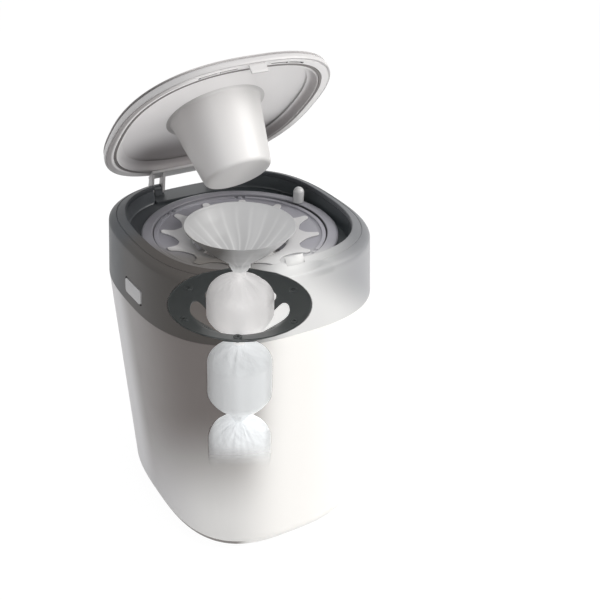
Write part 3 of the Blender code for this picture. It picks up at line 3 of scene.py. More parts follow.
import bpy
import numpy as np
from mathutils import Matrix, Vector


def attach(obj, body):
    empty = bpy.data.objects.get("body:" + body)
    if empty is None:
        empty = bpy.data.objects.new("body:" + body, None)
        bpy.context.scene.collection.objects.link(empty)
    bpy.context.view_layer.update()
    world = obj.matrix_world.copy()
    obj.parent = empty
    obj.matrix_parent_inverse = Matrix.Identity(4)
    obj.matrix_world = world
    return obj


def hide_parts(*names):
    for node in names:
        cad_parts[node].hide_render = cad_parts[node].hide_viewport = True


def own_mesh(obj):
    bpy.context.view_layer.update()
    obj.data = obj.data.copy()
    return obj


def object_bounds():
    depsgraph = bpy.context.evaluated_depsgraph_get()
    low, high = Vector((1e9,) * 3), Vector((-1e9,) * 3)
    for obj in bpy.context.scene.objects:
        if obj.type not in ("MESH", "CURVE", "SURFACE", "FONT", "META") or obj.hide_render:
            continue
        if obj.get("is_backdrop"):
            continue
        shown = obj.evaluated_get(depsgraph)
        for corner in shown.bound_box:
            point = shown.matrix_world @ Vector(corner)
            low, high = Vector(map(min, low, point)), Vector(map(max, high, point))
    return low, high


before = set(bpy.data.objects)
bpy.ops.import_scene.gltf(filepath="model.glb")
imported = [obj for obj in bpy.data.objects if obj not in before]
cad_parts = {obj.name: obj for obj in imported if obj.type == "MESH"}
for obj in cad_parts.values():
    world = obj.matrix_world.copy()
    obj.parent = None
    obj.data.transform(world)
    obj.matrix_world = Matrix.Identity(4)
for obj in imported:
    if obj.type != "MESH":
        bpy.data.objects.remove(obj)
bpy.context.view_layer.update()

# A nappy bin with its lid open. The front of the collar and tub is drawn as if it had been
# wiped thin, so that the funnel of film, the finger ring and the wrapped nappies show.
# Units are metres, but rows of corners, boxes, grain and the limits of over() are given in
# millimetres. +Z is up, and the front of the bin faces -Y.

MM = 0.001


# Camera: above the bin's front left corner, level, a little above and left of its middle.
CAMERA_AZIMUTH = -28.05
CAMERA_ELEVATION = 32.01
CAMERA_DISTANCE = 1.1265
CAMERA_AIM = np.array([0.0, 0.0, 0.2])
CAMERA_LENS = 57.73
CAMERA_SHIFT = (0.1048, 0.0598)


def heading(azimuth, elevation):
    """A unit vector: azimuth runs from the bin's front towards its right side, in degrees."""
    turn, rise = math.radians(azimuth), math.radians(elevation)
    level = math.cos(rise)
    return np.array([math.sin(turn) * level, -math.cos(turn) * level, math.sin(rise)])


def aimed(thing, azimuth, elevation, distance, aim):
    """Stands a camera or lamp off from a point, and turns it to look at that point."""
    thing.location = aim + distance * heading(azimuth, elevation)
    thing.rotation_euler = (math.radians(90 - elevation), 0, math.radians(azimuth))
    bpy.context.scene.collection.objects.link(thing)


lens = bpy.data.cameras.new("view")
lens.sensor_width = 36
lens.lens = CAMERA_LENS
lens.shift_x, lens.shift_y = CAMERA_SHIFT
camera = bpy.data.objects.new("view", lens)
aimed(camera, CAMERA_AZIMUTH, CAMERA_ELEVATION, CAMERA_DISTANCE, CAMERA_AIM)
bpy.context.scene.camera = camera
bpy.context.scene.view_settings.view_transform = "Standard"
bpy.context.scene.cycles.transparent_max_bounces = 48


# Studio: a broad soft lamp to the right, a weak one to the left, one above the lid, and an
# even grey sky. The floor and the sky look white, and the floor keeps a soft shadow.
LAMPS = (
    ("key_lamp", 52, 34, 1.9, 1.3, 27.0, (1.0, 0.985, 0.965)),
    ("left_lamp", -75, 30, 2.0, 1.4, 4.0, (0.93, 0.96, 1.0)),
    ("top_lamp", 10, 80, 1.8, 1.1, 6.0, (1.0, 1.0, 1.0)),
)
SKY_LIGHT = 0.5
FLOOR_SIZE = 6.0
FLOOR_GLOW = 0.9
FLOOR_BRIGHTNESS = 1.06

for name, azimuth, elevation, distance, size, power, tint in LAMPS:
    lamp = bpy.data.lights.new(name, "AREA")
    lamp.shape = "DISK"
    lamp.size = size
    lamp.energy = power
    lamp.color = tint
    aimed(bpy.data.objects.new(name, lamp), azimuth, elevation, distance, CAMERA_AIM)


def operator(operation, swapped=False):
    """A method that adds a Math node for two values. A swapped one puts the other one first."""

    def method(self, other):
        first, second = (other, self) if swapped else (self, other)
        return self.sheet.math(operation, first, second)

    return method


class Value:
    """A socket of a node tree. The operators add Math nodes, so shader maths reads as sums."""

    def __init__(self, sheet, socket):
        self.sheet, self.socket = sheet, socket

    __add__ = __radd__ = operator("ADD")
    __sub__ = operator("SUBTRACT")
    __rsub__ = operator("SUBTRACT", swapped=True)
    __mul__ = __rmul__ = operator("MULTIPLY")
    __truediv__ = operator("DIVIDE")
    __rtruediv__ = operator("DIVIDE", swapped=True)
    __pow__ = operator("POWER")
    most = operator("MAXIMUM")
    least = operator("MINIMUM")

    def __abs__(self):
        return self.sheet.math("ABSOLUTE", self)

    def between(self, low, high):
        """0 at low, 1 at high, with soft ends. It falls instead where low is above high."""
        settings = {"interpolation_type": "SMOOTHSTEP"}
        sockets = {"Value": self, "From Min": low, "From Max": high}
        return self.sheet.node("ShaderNodeMapRange", settings, sockets)

    def over(self, low, high):
        """The same for a length, between limits in millimetres."""
        return self.between(low * MM, high * MM)

    def blend(self, first, second):
        """The first colour where this value is 0, and the second where it is 1."""
        settings = {"data_type": "RGBA"}
        return self.sheet.node("ShaderNodeMix", settings, {0: self, 6: first, 7: second}, 2)


class Sheet:
    """A node tree that materials and the sky are written in."""

    def __init__(self, tree):
        self.tree = tree

    def node(self, kind, settings=None, sockets=None, output=0):
        """Adds a node: its settings first, then a number, colour or link for each socket."""
        node = self.tree.nodes.new(kind)
        for name, value in (settings or {}).items():
            setattr(node, name, value)
        for key, value in (sockets or {}).items():
            self.fill(node.inputs[key], value)
        return Value(self, node.outputs[output])

    def math(self, operation, *values):
        return self.node("ShaderNodeMath", {"operation": operation}, dict(enumerate(values)))

    def vector(self, operation, *values):
        return self.node("ShaderNodeVectorMath", {"operation": operation}, dict(enumerate(values)))

    def fill(self, socket, value):
        if isinstance(value, Value):
            self.tree.links.new(value.socket, socket)
        elif socket.type == "RGBA" and len(value) == 3:
            socket.default_value = (*value, 1.0)
        else:
            socket.default_value = value

    def seen_directly(self):
        """1 for what the camera, a gloss or clear plastic shows, and 0 for light on a surface."""
        kinds = ("Is Camera Ray", "Is Glossy Ray", "Is Transmission Ray")
        rays = [self.node("ShaderNodeLightPath", output=kind) for kind in kinds]
        return rays[0].most(rays[1]).most(rays[2])


sky = bpy.data.worlds.new("sky")
sky.use_nodes = True
bpy.context.scene.world = sky
air = Sheet(sky.node_tree)
backdrop = sky.node_tree.nodes["Background"]
backdrop.inputs["Color"].default_value = (1, 1, 1, 1)
air.fill(backdrop.inputs["Strength"], SKY_LIGHT + air.seen_directly() * (1 - SKY_LIGHT))

floor_mesh = bpy.data.meshes.new("floor")
half = FLOOR_SIZE / 2
corners = [(-half, -half, 0), (half, -half, 0), (half, half, 0), (-half, half, 0)]
floor_mesh.from_pydata(corners, [], [(0, 1, 2, 3)])
floor = bpy.data.objects.new("floor", floor_mesh)
bpy.context.scene.collection.objects.link(floor)
floor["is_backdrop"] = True
paper = bpy.data.materials.new("white_paper")
paper.use_nodes = True
sheet = Sheet(paper.node_tree)
matt = sheet.node("ShaderNodeBsdfDiffuse", sockets={"Color": (0.9, 0.9, 0.9)})
glow = sheet.node("ShaderNodeEmission", sockets={"Color": (1, 1, 1), "Strength": FLOOR_BRIGHTNESS})
share = sheet.seen_directly() * FLOOR_GLOW
look = sheet.node("ShaderNodeMixShader", sockets={0: share, 1: matt, 2: glow})
sheet.fill(paper.node_tree.nodes["Material Output"].inputs["Surface"], look)
floor_mesh.materials.append(paper)


# Plastics and film: one Principled finish each, with faint flow marks in the colour, a fine
# moulded grain in the bump, and gloss that is worn a little in patches.
AXIS_Y = -6.4 * MM  # the ring, cassette and film stand on an axis forward of the middle


def grey(level):
    return (level, level, level)


class Finish(Sheet):
    """A material on one Principled shader."""

    def __init__(self, name):
        self.material = bpy.data.materials.new(name)
        self.material.use_nodes = True
        super().__init__(self.material.node_tree)
        self.shader = self.tree.nodes["Principled BSDF"]
        self.place = self.node("ShaderNodeTexCoord", output="Object")

    def set(self, **values):
        for name, value in values.items():
            self.fill(self.shader.inputs[name.replace("_", " ")], value)

    def glow(self, colour, strength=1.0):
        """Painted light: light of its own, which stands in for light that the lamps don't bring."""
        self.set(Emission_Color=colour, Emission_Strength=strength)

    def noise(self, scale, detail=3.0, place=None, roughness=0.5):
        place = self.place if place is None else place
        sockets = {"Vector": place, "Scale": scale, "Detail": detail, "Roughness": roughness}
        return self.node("ShaderNodeTexNoise", sockets=sockets)

    def axes(self):
        return [self.node("ShaderNodeSeparateXYZ", sockets={0: self.place}, output=k) for k in range(3)]

    def bump(self, height, depth, strength=0.5):
        """A Bump node for a height that runs from 0 to 1 over the given depth."""
        sockets = {"Height": height, "Distance": depth, "Strength": strength}
        return self.node("ShaderNodeBump", sockets=sockets)


def moulded(name, colour, roughness, grain=0.03, coat=0.0, flow=0.05):
    """A moulded plastic. Its tone is the varied colour, so that a piece can add its own marks
    to it before it is set again."""
    made = Finish(name)
    dark = tuple(channel * (1 - flow * 2) for channel in colour)
    made.tone = made.noise(11.0).between(0.3, 0.7).blend(dark, colour)
    patches = made.noise(38.0, 4.0)
    pores = made.noise(2600.0, 2.0)
    made.set(Base_Color=made.tone, Roughness=roughness - 0.05 + patches * 0.1)
    made.set(Coat_Weight=coat, Coat_Roughness=0.12, Normal=made.bump(pores, grain * MM))
    return made


# The wiped front: where the sight line from the camera to the film column passes through a
# wall, the wall thins out. Heights and widths are measured on the upright plane that holds
# the head's axis and faces the camera, so the marks belong to the bin and not to the view.
SIGHT_ORIGIN = CAMERA_AIM + CAMERA_DISTANCE * heading(CAMERA_AZIMUTH, CAMERA_ELEVATION)
SIGHT_TOWARDS = SIGHT_ORIGIN[:2] - np.array([0, AXIS_Y])
SIGHT_REACH = float(np.linalg.norm(SIGHT_TOWARDS))
SIGHT_TOWARDS = SIGHT_TOWARDS / SIGHT_REACH
SIGHT_HEIGHT = float(SIGHT_ORIGIN[2])

FUNNEL_LINE = np.array(
    [(0.3458, 0.0612), (0.3320, 0.0500), (0.3180, 0.0355), (0.3030, 0.0150), (0.2905, 0.0085)]
)
BRIM_EDGE = np.array([(0.2490, 0.0830)])
PARCEL_RADIUS = 39.5 * MM
PARCEL_ENDS = ((290.5 * MM, 195.0 * MM), (194.7 * MM, 84.27 * MM), (83.97 * MM, 4.9 * MM))
NECK_RADIUS = 7.5 * MM
NECK_LENGTHS = (8 * MM, 2 * MM, 2 * MM)
SHOULDER_DROP = 27 * MM
DRAWN_DROP = 39 * MM
DRAWN_STEPS = ((0, 0.12, 0.32, 0.5, 0.72, 0.9, 1), (0, 0.10, 0.27, 0.5, 0.80, 0.95, 1))
FLAT_DROP = 17 * MM
FLAT_RADIUS = 24.5 * MM


def parcel_line(heights, number):
    """The radius of a parcel at each height: a neck, a round shoulder, straight sides, and a
    foot drawn to the next neck, or a broad flat foot where the last parcel has settled."""
    top, bottom = PARCEL_ENDS[number]
    down = np.clip((top - NECK_LENGTHS[number] - heights) / SHOULDER_DROP, 0, 1)
    shoulder = NECK_RADIUS + (PARCEL_RADIUS - NECK_RADIUS) * (1 - (1 - down) ** 2.3) ** 0.86
    if number < 2:
        up = np.clip((heights - bottom) / DRAWN_DROP, 0, 1)
        foot = NECK_RADIUS + (PARCEL_RADIUS - NECK_RADIUS) * np.interp(up, *DRAWN_STEPS)
    else:
        up = np.clip((heights - bottom) / FLAT_DROP, 0, 1)
        foot = FLAT_RADIUS + (PARCEL_RADIUS - FLAT_RADIUS) * (1 - (1 - up) ** 2.2) ** 0.6
    return np.minimum(shoulder, foot)


def column_outline():
    """Half the width of the film column as it is seen at each height of the facing plane. A
    sight line at height v meets a body of radius r at height z where it passes within r of
    the axis, so the width is the greatest over z of sqrt(r^2 - offset^2), in perspective."""
    heights = np.linspace(0.0, 0.36, 257)
    rows = [FUNNEL_LINE, BRIM_EDGE]
    for number, (top, bottom) in enumerate(PARCEL_ENDS):
        levels = np.linspace(bottom, top, 90)
        rows.append(np.stack([levels, parcel_line(levels, number)], axis=1))
    levels = np.linspace(0.2906, 0.3458, 60)
    rows.append(np.stack([levels, np.interp(levels, *FUNNEL_LINE[::-1].T)], axis=1))
    level, radius = np.concatenate(rows).T
    slope = (SIGHT_HEIGHT - heights[:, None]) / SIGHT_REACH
    offset = (level - heights[:, None]) / slope
    reach = np.sqrt(np.maximum(radius**2 - offset**2, 0))
    return heights, (reach * SIGHT_REACH / (SIGHT_REACH - offset)).max(axis=1)


def sighted(made):
    """Where a point is seen on the facing plane: across, up, and how far it stands in front."""
    x, y, z = made.axes()
    y = y - AXIS_Y
    sideways, forwards = (float(part) for part in SIGHT_TOWARDS)
    towards = x * sideways + y * forwards
    across = x * -forwards + y * sideways
    scale = SIGHT_REACH / (SIGHT_REACH - towards)
    return across * scale, SIGHT_HEIGHT - (SIGHT_HEIGHT - z) * scale, towards


def wiped(made, front=10 * MM, foot=4 * MM):
    """How solid a wall is: 0 over the film column and the finger ring, and 1 elsewhere. Only
    what stands in front of the given distance is wiped, and it returns towards the foot."""
    across, up, towards = sighted(made)
    heights, widths = column_outline()
    curve = made.tree.nodes.new("ShaderNodeFloatCurve")
    points = curve.mapping.curves[0].points
    spots = np.stack([heights / heights[-1], widths * 10], axis=1)[::4]
    points[0].location, points[1].location = spots[:2]
    for spot in spots[2:]:
        points.new(*spot)
    for point in points:
        point.handle_type = "VECTOR"
    curve.mapping.update()
    made.fill(curve.inputs["Value"], up / float(heights[-1]))
    width = Value(made, curve.outputs[0]) / 10
    inside = (width - abs(across)).over(-0.6, 1.2)
    fade = up.between(foot, foot + 44 * MM)
    before = towards.between(front - 6 * MM, front + 4 * MM)
    return 1 - inside * fade * before


def shaded_front(made, tone, shade_colour, haze_colour):
    """Painted soft brown shade to the left of the column, and a painted white haze to its
    right. The shade is 1 - (1 - t)^2.6 of the way across, and dies away towards the base."""
    across, up, towards = sighted(made)
    before = towards.over(24, 62)
    drift = (made.noise(7.0, 1.0) - 0.5) * (16 * MM)
    share = ((across + drift + 172 * MM) / (118 * MM)).most(0.0).least(1.0)
    left = 1 - (1 - share) ** 2.6
    low = (up + drift).over(-95, 98)
    shade = left * low * across.over(62, 6) * before
    haze = across.over(-10, 68)
    edge = across - up.over(290, 225) * (48 * MM)
    haze = haze * edge.over(138, 52) * before * up.over(352, 318)
    return haze.blend(shade.blend(tone, shade_colour), haze_colour), haze


# Shapes: every moulding is a grid of points, rings of points stacked along a profile.
def angles(count):
    return np.arange(count) * 2 * np.pi / count


def level_ring(half_width, half_depth, exponent, height, shift=0.0, count=240):
    """Rounded squares. At each angle t the reach is
    (|cos t / half_width|^n + |sin t / half_depth|^n)^(-1/n). One row for each height."""
    across, along = np.cos(angles(count)), np.sin(angles(count))
    wide, deep, power, up, aside = (
        np.broadcast_to(np.asarray(v, float), np.shape(height))[:, None]
        for v in (half_width, half_depth, exponent, height, shift)
    )
    sides = np.abs(across / wide) ** power + np.abs(along / deep) ** power
    reach = sides ** (-1 / power)
    return np.stack([reach * across, aside + reach * along, up + 0 * reach], axis=2)


def upright(radius, turns, height, centre=(0, AXIS_Y)):
    """Points at given radii, angles and heights about an upright axis."""
    x, y = centre[0] + radius * np.cos(turns), centre[1] + radius * np.sin(turns)
    return np.stack([x, y, height + 0 * x], axis=-1)


def round_ring(profile, count=240, centre=(0, AXIS_Y)):
    """Circles about an upright axis, one row for each radius and height of a profile."""
    radius, height = np.asarray(profile, float).T[:2, :, None]
    return upright(radius, angles(count), height, centre)


def drawn_round(square, profile, rise=0.0):
    """Draws rows of a rounded plan over to circles about the head's axis. The profile's third
    column is the share of the circle, whose radius is then the row's first value."""
    share = profile[:, 2, None, None] if profile.shape[1] > 2 else np.zeros((1, 1, 1))
    radius = np.where(share[:, 0, 0] > 0, profile[:, 0], 1)
    circle = round_ring(np.stack([radius, rise + profile[:, 1]], axis=1), square.shape[1])
    return square * (1 - share) + circle * share


def eased(corners, steps=5, unit=MM):
    """Rounds a profile. Each row is (across, up, round) in the unit, perhaps with a share
    before the round, and a corner gives way to a curve
    P(t) = (1-t)^2 A + 2t(1-t) C + t^2 B between points at that distance along both sides."""
    rows = np.array(corners, float)
    rows[:, [0, 1, -1]] *= unit
    spots, rounds = rows[:, :-1], rows[:, -1]
    before, after = np.roll(spots, 1, axis=0), np.roll(spots, -1, axis=0)
    before[0], after[-1] = spots[0], spots[-1]
    back, ahead = before - spots, after - spots
    far = np.linalg.norm(back[:, :2], axis=1), np.linalg.norm(ahead[:, :2], axis=1)
    rounds = np.minimum(rounds, 0.48 * np.minimum(*far))
    start = spots + back * (rounds / np.maximum(far[0], 1e-9))[:, None]
    end = spots + ahead * (rounds / np.maximum(far[1], 1e-9))[:, None]
    t = np.linspace(0, 1, steps)[None, :, None]
    curves = (1 - t) ** 2 * start[:, None] + 2 * t * (1 - t) * spots[:, None] + t**2 * end[:, None]
    sharp = (rounds == 0)[:, None] & (np.arange(steps) > 0)
    return curves[~sharp]


def dense(profile, longest=6 * MM):
    """Adds rows along the straight stretches of a profile, none further apart than longest."""
    steps = np.linalg.norm(np.diff(profile[:, :2], axis=0), axis=1)
    along = np.concatenate([[0], np.cumsum(steps)])
    counts = np.maximum(1, np.ceil(np.diff(along) / longest)).astype(int)
    spots = [np.linspace(a, b, n, endpoint=False) for a, b, n in zip(along, along[1:], counts)]
    spots = np.unique(np.concatenate([*spots, along[-1:]]))
    return np.stack([np.interp(spots, along, column) for column in profile.T], axis=1)


def signed_volume(points, faces):
    corners = points[faces]
    return np.einsum("ij,ij->i", corners[:, 0], np.cross(corners[:, 1], corners[:, 2])).sum()


def smooth(piece, sharp=32):
    piece.data.shade_smooth()
    piece.data.set_sharp_from_angle(angle=math.radians(sharp))


def skin(name, rings, loop=False, sharp=32):
    """A closed surface over a grid of points. A loop runs back to its first row, as a wall
    does, and otherwise each end is closed by a fan to its middle. Faces point outwards."""
    rows, count = rings.shape[:2]
    points = rings.reshape(-1, 3)
    row = np.arange(rows if loop else rows - 1)[:, None]
    here = np.arange(count)[None, :]
    there = (here + 1) % count
    below, above = row * count, (row + 1) % rows * count
    quads = np.stack([below + here, below + there, above + there, above + here], axis=2)
    quads = quads.reshape(-1, 4)
    fans = np.zeros((0, 3), int)
    if not loop:
        points = np.concatenate([points, rings[:1].mean(axis=1), rings[-1:].mean(axis=1)])
        foot, head = len(points) - 2, len(points) - 1
        here, there = here[0], there[0]
        last = (rows - 1) * count
        low_fan = np.stack([there, here, here * 0 + foot], axis=1)
        high_fan = np.stack([last + here, last + there, here * 0 + head], axis=1)
        fans = np.concatenate([low_fan, high_fan])
    triangles = np.concatenate([quads[:, :3], quads[:, [0, 2, 3]], fans])
    if signed_volume(points, triangles) < 0:
        quads, fans = quads[:, ::-1], fans[:, ::-1]
    mesh = bpy.data.meshes.new(name)
    mesh.from_pydata(points, [], quads.tolist() + fans.tolist())
    mesh.validate()
    piece = bpy.data.objects.new(name, mesh)
    bpy.context.scene.collection.objects.link(piece)
    smooth(piece, sharp)
    return piece


def rod(name, radius, low, high, count, centre):
    """An upright rod in millimetres about a centre in metres, used to cut or to join."""
    return skin(name, round_ring(np.array([(radius, low), (radius, high)]) * MM, count, centre))


def block(name, low, high):
    """A plain box in millimetres, used to cut or to join."""
    (x0, y0, z0), (x1, y1, z1) = np.array(low, float) * MM, np.array(high, float) * MM
    plan = [(x0, y0), (x1, y0), (x1, y1), (x0, y1)]
    return skin(name, np.array([[(x, y, z) for x, y in plan] for z in (z0, z1)]))


def carve(piece, cutters, operation="DIFFERENCE"):
    """Cuts shapes out of a piece, or joins them to it, and leaves one plain mesh."""
    for cutter in cutters:
        modifier = piece.modifiers.new(cutter.name, "BOOLEAN")
        modifier.operation = operation
        modifier.solver = "EXACT"
        modifier.object = cutter
    bpy.context.view_layer.update()
    graph = bpy.context.evaluated_depsgraph_get()
    mesh = bpy.data.meshes.new_from_object(piece.evaluated_get(graph))
    if len(mesh.polygons) < len(piece.data.polygons) / 2:
        raise RuntimeError(f"the Boolean on {piece.name} failed")
    piece.modifiers.clear()
    piece.data = mesh
    for cutter in cutters:
        bpy.data.objects.remove(cutter)
    smooth(piece)


def finished(piece, body, slot, *materials, stands_for=()):
    """Puts materials on a piece, and says what it rides on and which CAD solids it stands for."""
    for made in materials:
        piece.data.materials.append(made.material)
    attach(piece, body)
    if stands_for:
        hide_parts(*stands_for)


def painted(made, *names):
    """Puts a material on CAD solids that are fine enough to be shown as they are."""
    for name in names:
        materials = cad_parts[name].data.materials
        materials.clear()
        materials.append(made.material)


# Tub: one deep injection moulding in warm white polypropylene, with a ring foot, a full
# radius round its base and a thin step at the top that the head drops over.
SEAM = 283 * MM
HEAD_TAPER_HEIGHT = 64 * MM
TUB_WALL = 2.4 * MM
BASE_ROUND = 22 * MM
FLOOR_TOP = 4.6 * MM
TUB_COLOUR = (0.80, 0.79, 0.775)
# Painted shade on the far left and beside the column, and a painted white haze.
TUB_LEFT_SHADE = (0.60, 0.59, 0.60)
TUB_SHADE = (0.152, 0.132, 0.124)
TUB_HAZE = (0.90, 0.885, 0.86)


def tub_plan(height):
    """The tub's half width, half depth, power and shift. The plan grows from 115 x 135 mm at
    the base to 133 x 143 mm at the seam, and slides back as it grows, so that its front stays
    nearly upright."""
    share = np.clip((height - BASE_ROUND) / (SEAM - BASE_ROUND), 0, 1)
    above = np.maximum(0, height - SEAM) / HEAD_TAPER_HEIGHT
    wide = (115 + 18 * share - 2.9 * above) * MM
    deep = (135 + 8 * share - 6.6 * above) * MM
    return wide, deep, 3.0 - 0.3 * share, -8 * MM * (1 - share)


def tub_rings(profile):
    inset, height = profile.T
    wide, deep, power, shift = tub_plan(height)
    return level_ring(wide - inset, deep - inset, power, height, shift, 256)


quarter = np.radians(np.linspace(90, 0, 13))
outer_base = np.stack([1 - np.cos(quarter), 1 - np.sin(quarter)], axis=1) * BASE_ROUND
inner_round = BASE_ROUND - FLOOR_TOP
inner_base = np.stack([1 - np.cos(quarter), -np.sin(quarter)], axis=1) * inner_round
inner_base += np.array([TUB_WALL, BASE_ROUND])
foot = eased([(36, 2, 0), (34, 0, 0.6), (23, 0, 0)])
wall = eased(
    [
        (0, 24, 0), (0, 282.7, 0.7), (3.0, 282.7, 0.3), (3.0, 291, 0.5), (4.6, 291, 0.5),
        (4.6, 276, 1), (2.4, 268, 1), (2.4, 24, 0),
    ]
)
tub = skin("tub_body", tub_rings(np.concatenate([foot, outer_base, dense(wall, 9 * MM), inner_base[::-1]])))


def tub_finish():
    made = moulded("tub_polypropylene", TUB_COLOUR, 0.42, grain=0.02, flow=0.012)
    # Painted shade on the far left; shaded_front adds the painted shade and haze by the column.
    left = sighted(made)[0].over(-30, -120).blend(made.tone, TUB_LEFT_SHADE)
    made.set(Base_Color=shaded_front(made, left, TUB_SHADE, TUB_HAZE)[0], Alpha=wiped(made))
    return made


def inner_finish(name, dark, light):
    """Inner walls seen past the column: painted brown shade to its left, and painted light to
    its right, where a pale colour and a strong painted glow stand in for the lamps.
    """
    made = moulded(name, dark, 0.5)
    across, up, towards = sighted(made)
    right = across.over(-6, 14)
    behind = towards.over(20, -20)
    low = up.over(330, 290)
    made.set(Base_Color=right.blend(dark, light), Alpha=wiped(made, foot=-70 * MM))
    # Painted light: a glow on the far walls, faint to the left and strong to the right.
    lit = right.blend((0.03, 0.026, 0.024), (0.56, 0.56, 0.555))
    made.glow((behind * low).blend(grey(0), lit))
    return made


def mark_inside(piece):
    """Gives the second material to the faces that lie inside the middle of the tub's wall."""
    centres = np.zeros(len(piece.data.polygons) * 3)
    piece.data.polygons.foreach_get("center", centres)
    x, y, z = centres.reshape(-1, 3).T
    wide, deep, power, shift = tub_plan(z)
    sides = np.abs(x / (wide - TUB_WALL / 2)) ** power
    sides += np.abs((y - shift) / (deep - TUB_WALL / 2)) ** power
    inside = (sides < 1) & (z > FLOOR_TOP - 0.1 * MM)
    piece.data.polygons.foreach_set("material_index", inside.astype(int))


tub_inside = inner_finish("tub_inside", (0.20, 0.18, 0.17), (0.85, 0.84, 0.82))
finished(tub, "tub", "tub_white", tub_finish(), tub_inside, stands_for=["tub"])
mark_inside(tub)


# Collar: the grey casing of the head, with a rounded shoulder, a fine groove round a sloped
# rim, a dished notch for the fingers, and windows for the two release buttons.
# Painted light makes the right side paler, and painted shade and a painted white haze mark the front.
COLLAR_COLOUR = (0.074, 0.079, 0.086)
COLLAR_RIGHT_LIT = (0.30, 0.304, 0.316)
COLLAR_SHADE = (0.074, 0.067, 0.062)
COLLAR_HAZE = (0.60, 0.60, 0.595)
COLLAR_POWER = 2.7
RIM_TOP = 355.3 * MM
NOTCH_MIDDLE = 136.4 * MM
NOTCH_HALF_WIDTH = 42 * MM
NOTCH_HALF_DEPTH = 14 * MM
NOTCH_DROP = 8.5 * MM
HINGE_HALF = 47.6
HINGE_FRONT = 108.1


def collar_rings(profile, count=320):
    """The collar's plan at each inset and height, with a slight taper above the seam."""
    inset, height = profile[:, 0], profile[:, 1]
    taper = np.minimum(1, (height - SEAM) / HEAD_TAPER_HEIGHT)
    plain = np.where(profile[:, 2] > 0, 0, inset) if profile.shape[1] > 2 else inset
    wide, deep = (133 - 2.9 * taper) * MM, (143 - 6.6 * taper) * MM
    square = level_ring(wide - plain, deep - plain, COLLAR_POWER, height, 0.0, count)
    return drawn_round(square, profile)


def notch_reach(x, y):
    """Where a point lies in the finger notch: 0 in its middle and 1 at its edge."""
    return (x / NOTCH_HALF_WIDTH) ** 2.0 + ((y + NOTCH_MIDDLE) / NOTCH_HALF_DEPTH) ** 2.0


def notch_floor(reach):
    return RIM_TOP - NOTCH_DROP * np.sqrt(np.clip(1 - reach, 0, 1))


rim = dense(
    eased(
        [
            (0, 283, 0.5), (0, 345.9, 2.6), (2.6, 348.6, 2.2), (7.9, 351.8, 0.35), (8.2, 351.4, 0.2),
            (8.9, 351.4, 0.2), (9.2, 352.2, 0.35), (17.3, 355.3, 1.0), (18.2, 354.2, 0.5),
            (18.2, 350.3, 0.3), (16.0, 350.3, 0), (16.0, 352.8, 0), (8.0, 350.2, 0.5),
            (2.5, 344.5, 1), (2.5, 283, 0.3),
        ]
    ),
    5 * MM,
)
collar_points = collar_rings(rim)
x, y, z = np.moveaxis(collar_points, 2, 0)
reach = notch_reach(x, y)
dished = (z > 340 * MM) & (reach < 1)
outer_face = np.arange(len(rim))[:, None] < np.argmax(rim[:, 1]) + 4
soft = np.clip((1 - reach) / 0.12, 0, 1)
lowered = z * (1 - soft) + np.minimum(z, notch_floor(reach)) * soft
under = np.minimum(z, notch_floor(reach) - 1.6 * MM)
collar_points[:, :, 2] = np.where(dished, np.where(outer_face, lowered, under), z)
collar = skin("collar_casing", collar_points, loop=True)


def rounded_outline(wide, tall, corner, steps=9):
    """A rectangle with quarter-circle corners, as rows of (along, up) about its middle."""
    turns = [start + np.linspace(0, 90, steps) for start in (0, 90, 180, 270)]
    turns = np.radians(np.concatenate(turns))
    signs = np.repeat(np.array([(1, 1), (-1, 1), (-1, -1), (1, -1)]), steps, axis=0)
    middle = signs * (np.array([wide, tall]) / 2 - corner)
    return middle + corner * np.stack([np.cos(turns), np.sin(turns)], axis=1)


def catch_cut():
    return block("catch_cut", (-10.2, -124.2, 339.5), (10.2, -119.6, 360))


BUTTON_MIDDLE = np.array([-16 * MM, 303 * MM])
window = BUTTON_MIDDLE + rounded_outline(40.8 * MM, 18.8 * MM, 4 * MM)
cutters = [block("hinge_cut", (-HINGE_HALF, HINGE_FRONT, 334.3), (HINGE_HALF, 150, 360)), catch_cut()]
for side in (-1, 1):
    rows = [np.insert(window, 0, side * depth * MM, axis=1) for depth in (124, 140)]
    cutters.append(skin(f"window_cut_{side}", np.array(rows)))
carve(collar, cutters)


def collar_finish():
    made = moulded("collar_abs", COLLAR_COLOUR, 0.4, grain=0.03, flow=0.03)
    across, _, towards = sighted(made)
    x, y, z = made.axes()
    # Painted light: paler towards the right, and less so on the top of the rim.
    collar_lit = across.over(-20, 116) * towards.over(-90, 30)
    collar_lit = collar_lit * (0.40 + 0.60 * z.over(353, 338))
    tone = collar_lit.blend(made.tone, COLLAR_RIGHT_LIT)
    tone, haze = shaded_front(made, tone, COLLAR_SHADE, COLLAR_HAZE)
    # Painted shade in the right part of the finger notch's dish.
    dish = notch_reach(x, y).between(1.02, 0.7)
    dish = dish * x.over(4, 30) * z.over(338, 342)
    made.set(Base_Color=(dish * 0.6).blend(tone, (0.30, 0.305, 0.31)), Alpha=wiped(made))
    made.set(Specular_IOR_Level=0.2)
    # Painted light: a faint glow in the painted white haze.
    made.glow(haze.blend(grey(0), grey(0.09)))
    return made


finished(collar, "head", "collar_grey", collar_finish(), stands_for=["collar"])


# Well frame: the dark inner moulding, which tucks up behind the collar's lip, falls to a
# level deck for the twist ring, and has two ribs below for the button springs. Its front
# follows the finger notch, and its rear is cut down to the deck behind the hinge housing.
SLATE = (0.040, 0.047, 0.051)
